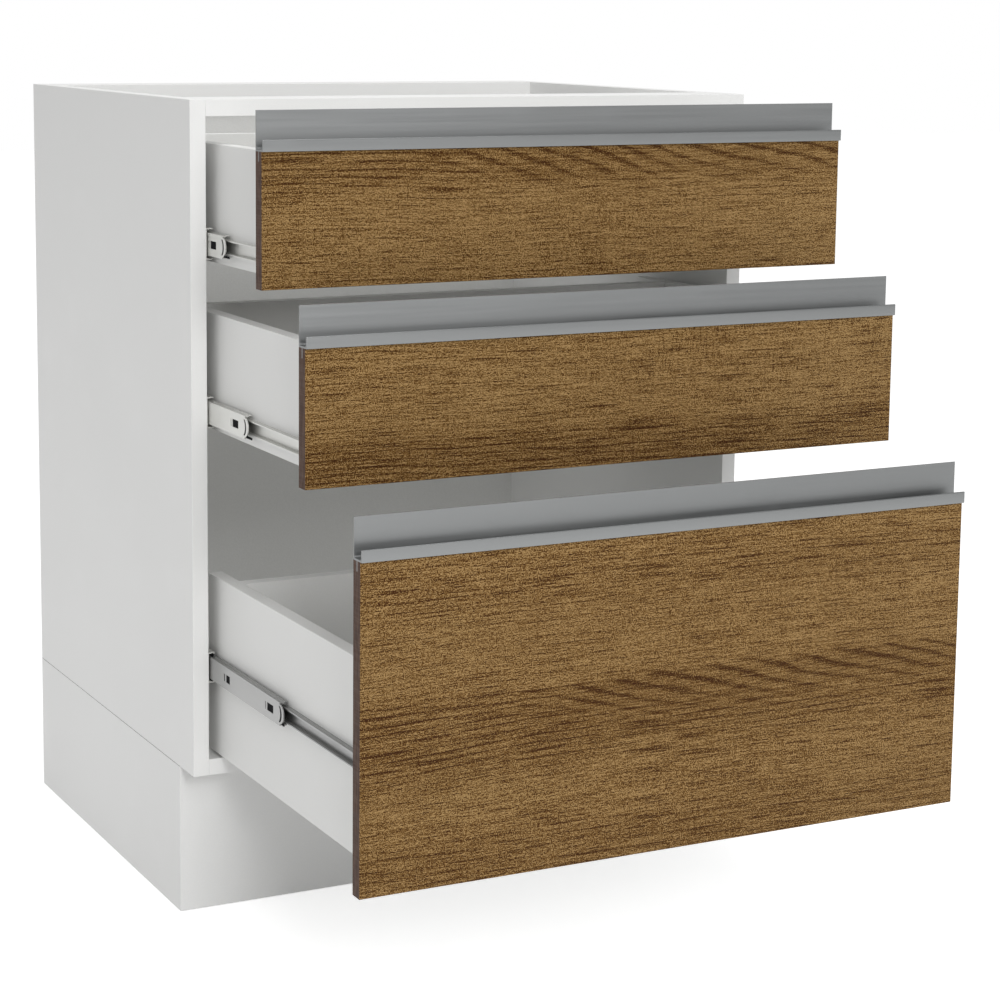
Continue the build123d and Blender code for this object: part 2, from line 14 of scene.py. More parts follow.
import bpy
import numpy as np
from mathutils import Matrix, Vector


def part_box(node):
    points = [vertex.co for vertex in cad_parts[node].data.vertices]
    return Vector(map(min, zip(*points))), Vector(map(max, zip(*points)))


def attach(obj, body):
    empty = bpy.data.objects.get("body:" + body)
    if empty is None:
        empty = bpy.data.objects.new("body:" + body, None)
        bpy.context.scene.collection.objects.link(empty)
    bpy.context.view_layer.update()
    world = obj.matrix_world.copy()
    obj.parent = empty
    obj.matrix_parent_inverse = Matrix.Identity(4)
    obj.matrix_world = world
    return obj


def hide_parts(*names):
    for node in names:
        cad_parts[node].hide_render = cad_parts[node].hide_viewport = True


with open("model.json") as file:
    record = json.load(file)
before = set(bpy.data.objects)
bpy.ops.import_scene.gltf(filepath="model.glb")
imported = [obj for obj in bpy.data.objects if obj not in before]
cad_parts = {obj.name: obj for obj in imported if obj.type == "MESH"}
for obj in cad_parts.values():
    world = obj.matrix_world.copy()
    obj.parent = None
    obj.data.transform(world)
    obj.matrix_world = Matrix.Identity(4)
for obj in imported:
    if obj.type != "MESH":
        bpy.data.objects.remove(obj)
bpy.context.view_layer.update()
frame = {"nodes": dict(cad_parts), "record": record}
log = logging.getLogger("base_cabinet")

Colour = tuple[float, float, float, float]
Place = tuple[float, float, float]
Pair = tuple[float, float]
Shape = tuple[np.ndarray, list]
Socket = bpy.types.NodeSocket
Tree = bpy.types.NodeTree
Piece = bpy.types.Object
NOSE_HALF = 0.0105


class Hand(Enum):
    """The side of the cabinet that a piece is on."""

    LEFT = -1
    RIGHT = 1


class Drawer(Enum):
    """The three drawers, by the first word of their nodes' names."""

    UPPER = "upper"
    CENTRE = "centre"
    DEEP = "deep"

    @property
    def body(self) -> str:
        """The name of the drawer's moving body."""
        return f"{self.value}_drawer"

    def node(self, part: str) -> str:
        """The name of one of the drawer's nodes."""
        return f"{self.value}_{part}"


# ---- shader helpers
class Graph:
    """A shader tree with short calls that add nodes and join them."""

    def __init__(self, tree: Tree) -> None:
        """Keeps the tree and empties it."""
        self.tree = tree
        tree.nodes.clear()

    def feed(self, node: bpy.types.Node, inputs: dict) -> None:
        """Gives inputs, by name or number, a value or the socket that feeds them."""
        for key, value in inputs.items():
            if isinstance(value, Socket):
                self.tree.links.new(value, node.inputs[key])
            else:
                node.inputs[key].default_value = value

    def add(self, kind: str, inputs: dict | None = None, **settings: object) -> bpy.types.Node:
        """Adds a node.

        Args:
            kind: its type's name without "ShaderNode".
            inputs: what to feed it.
            settings: its properties.

        Returns:
            The new node.
        """
        name = kind if kind.startswith("Node") else f"ShaderNode{kind}"
        node = self.tree.nodes.new(name)
        for key, value in settings.items():
            setattr(node, key, value)
        self.feed(node, inputs or {})
        return node

    def math(self, operation: str, *values: object) -> Socket:
        """One arithmetic step on numbers or sockets, and the socket that gives its result."""
        return self.add("Math", dict(enumerate(values)), operation=operation).outputs[0]

    def times(self, first: object, *others: object) -> object:
        """The product of numbers and sockets."""
        for other in others:
            first = self.math("MULTIPLY", first, other)
        return first

    def above(self, value: object, limit: float) -> Socket:
        """1 where the value is above the limit, otherwise 0."""
        return self.math("GREATER_THAN", value, limit)

    def spread(self, value: object, low: float, high: float, to: Pair = (0.0, 1.0)) -> object:
        """Carries a value from low..high to the range to, smoothly and without overshoot."""
        inputs = dict(enumerate((value, low, high, *to)))
        return self.add("MapRange", inputs, interpolation_type="SMOOTHSTEP").outputs[0]

    def noise(self, vector: object, scale: tuple, detail: float, rough: float = 0.5) -> object:
        """Noise on the piece.

        Args:
            vector: the place.
            scale: cells per metre along x, y and z.
            detail: how many finer layers are added.
            rough: how strong they are.

        Returns:
            A value around one half.
        """
        placed = self.add("Mapping", {"Vector": vector, "Scale": scale}).outputs[0]
        inputs = {"Vector": placed, "Scale": 1.0, "Detail": detail, "Roughness": rough}
        return self.add("TexNoise", inputs).outputs["Fac"]

    def blend(self, amount: object, first: object, second: object) -> Socket:
        """A number that goes from the first to the second as amount goes from 0 to 1."""
        return self.add("Mix", {0: amount, 2: first, 3: second}).outputs[0]

    def mix(self, amount: object, first: object, second: object) -> Socket:
        """A colour that goes from the first to the second as amount goes from 0 to 1."""
        inputs = {0: amount, 6: first, 7: second}
        return self.add("Mix", inputs, data_type="RGBA").outputs[2]

    def ramp(self, value: object, stops: tuple) -> bpy.types.bpy_prop_collection:
        """A colour ramp.

        Args:
            value: where on the ramp.
            stops: places from 0 to 1, each with its colour.

        Returns:
            The outputs: the colour and its alpha.
        """
        node = self.add("ValToRGB", {0: value})
        elements = node.color_ramp.elements
        elements.remove(elements[1])
        elements[0].position, elements[0].color = stops[0]
        for place, colour in stops[1:]:
            elements.new(place).color = colour
        return node.outputs

    def place(self) -> Socket:
        """The place on the piece, in metres."""
        return self.add("TexCoord").outputs["Object"]

    def split(self, vector: object) -> list[Socket]:
        """The x, y and z of a vector."""
        return self.add("SeparateXYZ", {0: vector}).outputs[:3]

    def facing(self, normal: str) -> list[Socket]:
        """The x, y and z of the surface's "Normal" or "True Normal"."""
        return self.split(self.add("NewGeometry").outputs[normal])

    def bump(self, height: object, distance: float) -> Socket:
        """A normal tilted by a height that stands for distance metres."""
        inputs = {"Height": height, "Distance": distance, "Strength": 1.0}
        return self.add("Bump", inputs).outputs[0]

    def effect(self, tree: Tree, place: object, **numbers: float) -> object:
        """The outputs of a shared effect at a place."""
        return self.add("Group", {"Place": place, **numbers}, node_tree=tree).outputs


def group(name: str, numbers: tuple[str, ...], gives: tuple[str, ...]) -> tuple:
    """Starts a node group that takes a place on the piece, and numbers.

    Args:
        name: its name.
        numbers: the names of its number inputs.
        gives: the names of its outputs.

    Returns:
        Its Graph, the sockets with its inputs, and its output node.
    """
    tree = bpy.data.node_groups.new(name, "ShaderNodeTree")
    tree.interface.new_socket("Place", in_out="INPUT", socket_type="NodeSocketVector")
    for in_out, labels in (("INPUT", numbers), ("OUTPUT", gives)):
        for label in labels:
            tree.interface.new_socket(label, in_out=in_out, socket_type="NodeSocketFloat")
    graph = Graph(tree)
    return graph, graph.add("NodeGroupInput").outputs, graph.add("NodeGroupOutput")


def coating_grain() -> Tree:
    """The surface of melamine-coated board: a fine pearl grain and a faint uneven tone.

    Height is noise of about a millimetre, sharpened; Tone is the same noise mixed with
    slow noise of about a hand's breadth.
    """
    g, given, out = group("coating_grain", ("Cells",), ("Height", "Tone"))
    inputs = {0: given["Place"], "Scale": given["Cells"]}
    fine = g.add("VectorMath", inputs, operation="SCALE").outputs[0]
    height = g.spread(g.noise(fine, (1.0, 1.0, 1.0), 2.0, 0.6), 0.35, 0.65)
    slow = g.noise(given["Place"], (7.0, 7.0, 7.0), 2.0)
    tone = g.math("MULTIPLY_ADD", height, 0.35, g.times(slow, 0.65))
    g.feed(out, {"Height": height, "Tone": tone})
    return g.tree


def drawn_lines() -> Tree:
    """Fine lines along X, as drawing, rolling and brushing leave on metal.

    Height is noise stretched more than a hundredfold along the lines; Streak is a
    coarser one, for uneven gloss.
    """
    g, given, out = group("drawn_lines", (), ("Height", "Streak"))
    height = g.noise(given["Place"], (18.0, 2600.0, 2600.0), 2.0)
    streak = g.noise(given["Place"], (5.0, 240.0, 240.0), 3.0)
    g.feed(out, {"Height": height, "Streak": streak})
    return g.tree


def handling() -> Tree:
    """Handling marks: Mark is large noise cut by a threshold and broken up by small noise."""
    g, given, out = group("handling", ("Amount",), ("Mark",))
    wide = g.noise(given["Place"], (16.0, 16.0, 16.0), 3.0, 0.6)
    small = g.noise(given["Place"], (420.0, 420.0, 420.0), 2.0)
    g.feed(out, {"Mark": g.times(g.spread(wide, 0.52, 0.72), small, given["Amount"])})
    return g.tree


COATING_GRAIN = coating_grain()
DRAWN_LINES = drawn_lines()
HANDLING = handling()


# ---- finishes
@dataclass(frozen=True)
class Finish:
    """A finish with its main tone and a second one."""

    name: str
    colour: Colour
    shade: Colour

    def surface(self, g: Graph) -> dict:
        """What each finish looks like.

        Args:
            g: the material's graph.

        Returns:
            What feeds the Principled shader, by input.
        """
        raise NotImplementedError

    def material(self) -> bpy.types.Material:
        """Builds the material around its surface."""
        material = bpy.data.materials.new(self.name)
        material.use_nodes = True
        g = Graph(material.node_tree)
        shader = g.add("BsdfPrincipled", self.surface(g))
        g.add("OutputMaterial", {"Surface": shader.outputs[0]})
        return material


@dataclass(frozen=True)
class Coating(Finish):
    """Melamine-coated board: satin, with a fine pearl grain.

    Sideways arrises above the height joint are darkened with painted shade and dust where two
    boards meet.
    """

    cells: float = 900.0
    depth: float = 0.00003
    roughness: Pair = (0.36, 0.50)
    rubbed: float = 0.5
    polish: float = 0.2
    joint: float = 10.0
    joint_slant: float = 0.2
    # the colour of the painted shade and dust in the joint
    joint_shade_and_dust_colour: Colour = (0.05, 0.045, 0.04, 1.0)

    def surface(self, g: Graph) -> dict:
        """Pearl grain, uneven tone, glossier rubbed patches, and painted shade and dust at the
        joint.
        """
        place = g.place()
        grain = g.effect(COATING_GRAIN, place, Cells=self.cells)
        mark = g.effect(HANDLING, place, Amount=self.rubbed)[0]
        colour = g.mix(grain["Tone"], self.shade, self.colour)
        sideways = g.above(g.math("ABSOLUTE", g.facing("True Normal")[0]), self.joint_slant)
        joint_shade_and_dust = g.times(sideways, g.above(g.split(place)[2], self.joint))
        gloss = g.spread(grain["Tone"], 0.2, 0.8, self.roughness)
        return {
            # painted shade and dust: sideways arrises above the joint height take the dark joint
            # colour
            "Base Color": g.mix(joint_shade_and_dust, colour, self.joint_shade_and_dust_colour),
            "Roughness": g.math("SUBTRACT", gloss, g.times(mark, self.polish)),
            "Normal": g.bump(grain["Height"], self.depth),
        }


class Grain(Enum):
    """What the decor is like at one height: its streaks, flame, shade and saw marks.

    Streaks say how many dark lines there are, flame how far they slant, and shade how far
    the ground is from the darkest to the lightest tone.
    """

    QUIET = (0.12, 0.0, 0.58, 0.6)
    CALM = (0.25, 0.0, 0.555, 0.2)
    STREAKED = (0.58, 0.0, 0.51, 0.1)
    DENSE = (0.80, 0.0, 0.45, 0.1)
    FLAME_EDGE = (0.76, 0.6, 0.48, 0.0)
    FLAMED = (0.98, 1.0, 0.49, 0.0)
    SAWN = (0.38, 0.0, 0.59, 1.0)


@dataclass(frozen=True)
class WoodDecor(Finish):
    """Printed and embossed oak decor with a horizontal grain, its edge band and its back.

    The bands say which grain there is at which height, and it changes smoothly between.
    Each fleck is a noise of the ground: its cells per metre along and up, its finer
    layers and its share in the tone. Colour and shade are the edge band's.
    """

    tones: tuple = (
        (0.09, (0.045, 0.0127, 0.0008, 1.0)),
        (0.27, (0.085, 0.0345, 0.0045, 1.0)),
        (0.36, (0.110, 0.0492, 0.0090, 1.0)),
        (0.52, (0.157, 0.0800, 0.0202, 1.0)),
        (0.68, (0.215, 0.1212, 0.0388, 1.0)),
        (0.85, (0.292, 0.1790, 0.0695, 1.0)),
        (1.00, (0.390, 0.2440, 0.0985, 1.0)),
    )
    bands: tuple[tuple[float, Grain], ...] = (
        (0.176, Grain.STREAKED), (0.209, Grain.STREAKED), (0.225, Grain.CALM),
        (0.264, Grain.QUIET), (0.290, Grain.STREAKED), (0.307, Grain.DENSE),
        (0.326, Grain.FLAME_EDGE), (0.346, Grain.FLAMED), (0.357, Grain.FLAMED),
        (0.367, Grain.CALM), (0.428, Grain.QUIET), (0.454, Grain.STREAKED),
        (0.470, Grain.STREAKED), (0.500, Grain.CALM), (0.548, Grain.DENSE),
        (0.586, Grain.DENSE), (0.595, Grain.CALM), (0.617, Grain.QUIET),
        (0.652, Grain.SAWN), (0.687, Grain.SAWN), (0.732, Grain.STREAKED),
        (0.742, Grain.CALM), (0.800, Grain.QUIET), (0.822, Grain.CALM),
        (0.840, Grain.FLAME_EDGE), (0.871, Grain.FLAMED),
    )
    flecks: tuple = (
        (800.0, 900.0, 1.0, 2.7),
        (260.0, 800.0, 1.0, 1.5),
        (60.0, 700.0, 1.0, 1.15),
        (11.0, 520.0, 2.0, 0.85),
        (4.0, 28.0, 2.0, 0.14),
    )
    back: Colour = (0.78, 0.78, 0.76, 1.0)
    depth: float = 0.0006
    rightward: Pair = (0.0, 0.06)
    # painted light: how much lighter the decor grows per metre of height
    painted_light_upward: float = 0.10
    lift: float = 0.075
    rings_per_metre: float = 115.0
    ring_sway: float = 9.0
    ring_width: float = 0.5
    flames_per_metre: float = 19.0
    flame_slope: float = 0.30
    flame_sway: float = 6.5
    flame_width: float = 0.6
    flame_from: Pair = (-0.22, -0.05)
    line_cut: Pair = (0.565, 0.640)
    line_depth: float = 0.60
    saw_from: Pair = (-0.12, 0.06)
    saw_depth: float = 0.45
    edge_turn: float = 0.75

    def line(self, g: Graph, level: object, width: float) -> object:
        """The last width of each whole step of level, rising from 0 to 1 and falling."""
        turn = g.math("FRACT", level)
        top = 1.0 - width * 0.4
        return g.times(g.spread(turn, 1.0 - width, top), g.spread(turn, 1.0, top))

    def ground(self, g: Graph, along: object, tone: object) -> tuple:
        """The embossed ground: each fleck's noise adds its share to the tone.

        Args:
            g: the material's graph.
            along: the place along the grain.
            tone: the tone without flecks.

        Returns:
            The ground's tone and its three finest noises.
        """
        noises = []
        for cells, cells_up, layers, share in self.flecks:
            noise = g.noise(along, (cells, 0.0, cells_up), layers)
            tone = g.math("ADD", tone, g.math("MULTIPLY_ADD", noise, share, -share / 2))
            noises.append(noise)
        return tone, noises[:3]

    def growth(self, g: Graph, along: object, spot: tuple, kind: tuple, noises: list) -> object:
        """The growth lines: steps of height plus slow noise, broken up by the flecks.

        In a flame the steps are of x and height together, so that they slant.

        Args:
            g: the material's graph.
            along: the place along the grain.
            spot: the x and the height on the piece.
            kind: how many streaks there are, and how far they are a flame.
            noises: the three finest noises of the ground.

        Returns:
            How dark the lines are, from 0 to 1.
        """
        (across, up), (streaks, flame), (speck, short, long) = spot, kind, noises
        sway = g.noise(along, (1.3, 0.0, 5.0), 4.0, 0.5)
        rings = g.math("MULTIPLY_ADD", sway, self.ring_sway, g.times(up, self.rings_per_metre))
        steep = self.flames_per_metre / self.flame_slope
        slant = g.math("MULTIPLY_ADD", up, steep, g.times(across, self.flames_per_metre))
        slant = g.math("MULTIPLY_ADD", sway, self.flame_sway, slant)
        ring = self.line(g, rings, self.ring_width)
        tongue = self.line(g, slant, self.flame_width)
        slants = g.times(flame, g.spread(across, *self.flame_from))
        lines = g.blend(slants, ring, tongue)
        dash = g.noise(along, (17.0, 0.0, 540.0), 2.0)
        flat = g.math("ADD", g.times(long, 0.35), g.times(dash, 0.65))
        rough = g.math("ADD", g.times(short, 0.7), g.times(dash, 0.3))
        drawn = g.times(lines, g.math("MULTIPLY_ADD", slants, 0.05, 0.13))
        pull = g.times(streaks, g.math("ADD", drawn, 0.02))
        marks = g.math("ADD", g.blend(slants, flat, rough), pull)
        return g.times(g.spread(marks, *self.line_cut), g.spread(speck, 0.75, 0.45, (0.5, 1.0)))

    def saw_marks(self, g: Graph, place: object, across: object, amount: object) -> object:
        """Upright saw marks: ticks on woven lines, in patches towards the right.

        Args:
            g: the material's graph.
            place: the place on the piece.
            across: its x.
            amount: how much of the marks there is at this height.

        Returns:
            How dark they are, from 0 to 1.
        """
        ticks = g.spread(g.noise(place, (380.0, 0.0, 60.0), 2.0), 0.50, 0.60)
        weave = g.spread(g.noise(place, (40.0, 0.0, 480.0), 1.0), 0.42, 0.56)
        patch = g.spread(g.noise(place, (9.0, 0.0, 26.0), 3.0), 0.36, 0.54)
        patch = g.times(patch, g.spread(across, *self.saw_from))
        return g.times(g.times(ticks, weave), patch, amount)

    def surface(self, g: Graph) -> dict:
        """The decor on the front, the band on the edges and white behind.

        The grain runs along X. Slow noise bends its height, and the ground and the
        growth lines are read at the bent height.
        """
        place = g.place()
        across, _, up = g.split(place)
        low, high = self.bands[0][0], self.bands[-1][0]
        level = g.add("MapRange", {"Value": up, "From Min": low, "From Max": high}).outputs[0]
        stops = tuple(((z - low) / (high - low), grain.value) for z, grain in self.bands)
        kind, sawn = g.ramp(level, stops)
        streaks, flame, shade = g.add("SeparateColor", {0: kind}).outputs[:3]
        bent = g.math("MULTIPLY_ADD", g.noise(place, (1.7, 0.0, 5.0), 1.0), 0.03, up)
        along = g.add("CombineXYZ", {0: across, 2: bent}).outputs[0]
        tone, noises = self.ground(g, along, shade)
        tone = g.math("ADD", tone, g.spread(across, 0.0, 0.30, self.rightward))
        # painted light: the decor grows lighter with height, as the light on the fronts does
        tone = g.math("MULTIPLY_ADD", up, self.painted_light_upward, tone)
        lines = self.growth(g, along, (across, up), (streaks, flame), noises)
        tone = g.math("MULTIPLY_ADD", lines, -self.line_depth, g.math("ADD", tone, self.lift))
        saw = self.saw_marks(g, place, across, sawn)
        tone = g.math("MULTIPLY_ADD", saw, -self.saw_depth, tone)

        x, y, z = g.facing("Normal")
        outward = g.math("MAXIMUM", g.math("ABSOLUTE", x), g.math("ABSOLUTE", z))
        edge = g.above(outward, self.edge_turn)
        behind = g.above(y, self.edge_turn)
        fleck = g.spread(g.noise(place, (160.0, 420.0, 60.0), 3.0), 0.35, 0.65)
        band = g.mix(fleck, self.shade, self.colour)
        colour = g.mix(edge, g.ramp(tone, self.tones)[0], band)
        front = g.math("SUBTRACT", 1.0, g.math("MAXIMUM", edge, behind))
        return {
            "Base Color": g.mix(behind, colour, self.back),
            "Roughness": g.spread(noises[0], 0.3, 0.7, (0.66, 0.50)),
            "Normal": g.bump(g.times(tone, front), self.depth),
            "Specular IOR Level": 0.12,
        }


@dataclass(frozen=True)
class Metal(Finish):
    """Metal with drawn or rolled lines, along X as it stands or turned to run along Y."""

    roughness: Pair
    depth: float
    along_y: bool = False
    metallic: float = 1.0
    handled: float = 0.8
    dulled: float = 0.12

    def surface(self, g: Graph) -> dict:
        """Lines in the tone, gloss and relief, and duller patches where it was handled."""
        turn = (0.0, 0.0, radians(90.0) if self.along_y else 0.0)
        place = g.add("Mapping", {"Vector": g.place(), "Rotation": turn}).outputs[0]
        lines = g.effect(DRAWN_LINES, place)
        mark = g.effect(HANDLING, place, Amount=self.handled)[0]
        gloss = g.spread(lines["Streak"], 0.25, 0.75, self.roughness)
        return {
            "Base Color": g.mix(lines["Streak"], self.shade, self.colour),
            "Roughness": g.math("ADD", gloss, g.times(mark, self.dulled)),
            "Normal": g.bump(lines["Height"], self.depth),
            "Metallic": self.metallic,
        }


@dataclass(frozen=True)
class BareWood(Finish):
    """Unfinished wood, with cells of grain per metre on each axis: beech dowels, pine blocks."""

    grain: Place

    def surface(self, g: Graph) -> dict:
        """A stretched noise as tone, gloss and relief."""
        lines = g.noise(g.place(), self.grain, 4.0, 0.6)
        return {
            "Base Color": g.mix(g.spread(lines, 0.3, 0.7), self.colour, self.shade),
            "Roughness": g.spread(lines, 0.3, 0.7, (0.6, 0.75)),
            "Normal": g.bump(lines, 0.0002),
        }


@dataclass(frozen=True)
class Moulding(Finish):
    """Moulded plastic with a fine spark-eroded grain."""

    def surface(self, g: Graph) -> dict:
        """The grain as tone, gloss and relief."""
        grain = g.noise(g.place(), (2600.0, 2600.0, 2600.0), 2.0)
        return {
            "Base Color": g.mix(grain, self.shade, self.colour),
            "Roughness": g.spread(grain, 0.3, 0.7, (0.55, 0.70)),
            "Normal": g.bump(grain, 0.00002),
            "Specular IOR Level": 0.03,
        }


BOARD_WHITE = (0.80, 0.80, 0.79, 1.0), (0.76, 0.76, 0.75, 1.0)
FINISHES: dict[str, Finish] = {
    "carcass_board": Coating("white_carcass", *BOARD_WHITE),
    # the plinth's side faces get painted shade and dust in their top half millimetre, under the
    # carcass
    "plinth_board": Coating("white_plinth", *BOARD_WHITE, joint=0.1695),
    "box_board": Coating("white_box", (0.80, 0.80, 0.785, 1.0), (0.755, 0.755, 0.74, 1.0)),
    "back_board": Coating(
        "white_hardboard", (0.78, 0.78, 0.765, 1.0), (0.72, 0.72, 0.70, 1.0), 500.0, 0.00006
    ),
    "oak_decor": WoodDecor("oak_decor", (0.105, 0.062, 0.044, 1.0), (0.062, 0.034, 0.026, 1.0)),
    "handle_aluminium": Metal(
        "satin_aluminium", (0.275, 0.281, 0.281, 1.0), (0.241, 0.248, 0.249, 1.0),
        (0.38, 0.50), 0.000012,
    ),
    "runner_steel": Metal(
        "zinc_runner", (0.74, 0.74, 0.71, 1.0), (0.62, 0.62, 0.595, 1.0), (0.34, 0.48),
        0.000006, along_y=True, metallic=0.72,
    ),
    # painted shade: the deep drawer's runners are the same zinc with a darker colour, for their
    # darker reflection
    "deep_runner_steel": Metal(
        "zinc_runner_painted_dark", (0.40, 0.40, 0.395, 1.0), (0.29, 0.29, 0.285, 1.0),
        (0.30, 0.42), 0.000006, along_y=True, metallic=0.80,
    ),
    "zinc_steel": Metal("zinc_screw", (0.66, 0.66, 0.63, 1.0), (0.52, 0.52, 0.49, 1.0),
                        (0.24, 0.38), 0.000004),
    "cast_zinc": Metal("cast_zinc", (0.50, 0.50, 0.50, 1.0), (0.38, 0.38, 0.38, 1.0),
                       (0.34, 0.5), 0.00001),
    "beech_dowel": BareWood("beech", (0.58, 0.40, 0.24, 1.0), (0.44, 0.28, 0.15, 1.0),
                            (30.0, 700.0, 700.0)),
    "pine_block": BareWood("pine", (0.66, 0.49, 0.29, 1.0), (0.50, 0.33, 0.17, 1.0),
                           (160.0, 160.0, 12.0)),
    # black plastic for the stops and plugs, and painted shade for the sheets that fill the
    # runners' holes
    "catch": Moulding("black_plastic_and_painted_shade", (0.010, 0.010, 0.011, 1.0), (0.006, 0.006, 0.007, 1.0)),
}
looks = {slot: finish.material() for slot, finish in FINISHES.items()}


# ---- mesh helpers
def linked(name: str, data: bpy.types.ID) -> Piece:
    """A new object in the scene."""
    piece = bpy.data.objects.new(name, data)
    bpy.context.scene.collection.objects.link(piece)
    return piece


def make_piece(name: str, parts: list[Shape], finish: str, body: str, *nodes: str,
               sharp: float = 32.0, sheet: float = 0.0) -> None:
    """Joins shapes into one piece at the origin, dresses it and puts it on its body.

    Args:
        name: the piece's name.
        parts: its shapes, with faces outwards by the right-hand rule.
        finish: its finish.
        body: the body it rides on.
        nodes: the nodes it stands for.
        sharp: edges that turn by more degrees stay sharp. 0 shades the piece flat.
        sheet: the thickness that a surface gets, half to each side. 0 gives it none.
    """
    points, faces, count = [], [], 0
    for part_points, part_faces in parts:
        points.append(part_points)
        faces += [tuple(int(i) + count for i in face) for face in part_faces]
        count += len(part_points)
    mesh = bpy.data.meshes.new(name)
    mesh.from_pydata(np.vstack(points).tolist(), [], faces)
    mesh.validate()
    mesh.materials.append(looks[finish])
    piece = linked(name, mesh)
    if sheet:
        wall = piece.modifiers.new("sheet", "SOLIDIFY")
        wall.thickness = sheet
        wall.offset = 0.0
        wall.use_even_offset = True
        graph = bpy.context.evaluated_depsgraph_get()
        mesh = bpy.data.meshes.new_from_object(piece.evaluated_get(graph))
        piece.modifiers.clear()
        piece.data = mesh
    if sharp:
        mesh.polygons.foreach_set("use_smooth", [True] * len(mesh.polygons))
        mesh.set_sharp_from_angle(angle=radians(sharp))
    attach(piece, body)
    if nodes:
        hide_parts(*nodes)
    log.info("%s: %d faces", piece.name, len(mesh.polygons))


def lathe(radius: np.ndarray, height: np.ndarray, sides: int, cross: float = 0.0,
          cross_radius: float = 1.0, cross_width: float = 1.0) -> Shape:
    """A turned shape about z, with a cross-shaped recess in its top.

    A point of ring i at turn t is (r_i cos t, r_i sin t, h_i - d), where the depth d is
    cross inside a plus that fades at its ends.

    Args:
        radius: the ring radii, from the top's centre down to the bottom's.
        height: the ring heights.
        sides: points in a ring.
        cross: the depth of the recess, or 0 for none.
        cross_radius: how far its arms reach.
        cross_width: how wide they are.

    Returns:
        Points and faces. The first and last rings are single points.
    """
    turn = np.arange(sides) * 2.0 * np.pi / sides
    ring = slice(1, -1)
    across = radius[ring, None] * np.cos(turn)
    up = radius[ring, None] * np.sin(turn)
    narrow = np.minimum(np.abs(across), np.abs(up)) < cross_width / 2.0
    fade = np.clip((cross_radius - radius[ring, None]) / (0.35 * cross_radius), 0.0, 1.0)
    count = len(height) - 2
    falls = np.arange(count)[:, None] < np.argmax(radius)
    depth = cross * narrow * fade * falls
    rings = np.stack([across, up, height[ring, None] - depth], axis=-1).reshape(-1, 3)
    ends = np.array([[0.0, 0.0, height[0] - cross], [0.0, 0.0, height[-1]]])
    points = np.vstack([ends[:1], rings, ends[1:]])
    index = 1 + np.arange(count * sides).reshape(count, sides)
    ahead = np.roll(index, -1, axis=1)
    walls = np.stack([index[:-1], index[1:], ahead[1:], ahead[:-1]], axis=-1).reshape(-1, 4)
    top = np.stack([np.zeros(sides, int), index[0], ahead[0]], axis=-1)
    bottom = np.stack([np.full(sides, len(points) - 1), ahead[-1], index[-1]], axis=-1)
    return points, walls.tolist() + top.tolist() + bottom.tolist()


def stood(points: np.ndarray, axis: tuple, place: np.ndarray) -> np.ndarray:
    """Turns points made about z so that z points along axis, and moves them to place.

    Args:
        points: the points, one row each.
        axis: a unit vector along X, Y or Z.
        place: where their origin goes.

    Returns:
        The turned and moved points.
    """
    out = np.array(axis, float)
    side = np.array((0.0, 0.0, 1.0)) if abs(out[2]) < 0.5 else np.array((0.0, 1.0, 0.0))
    return points @ np.stack([side, np.cross(out, side), out]) + place


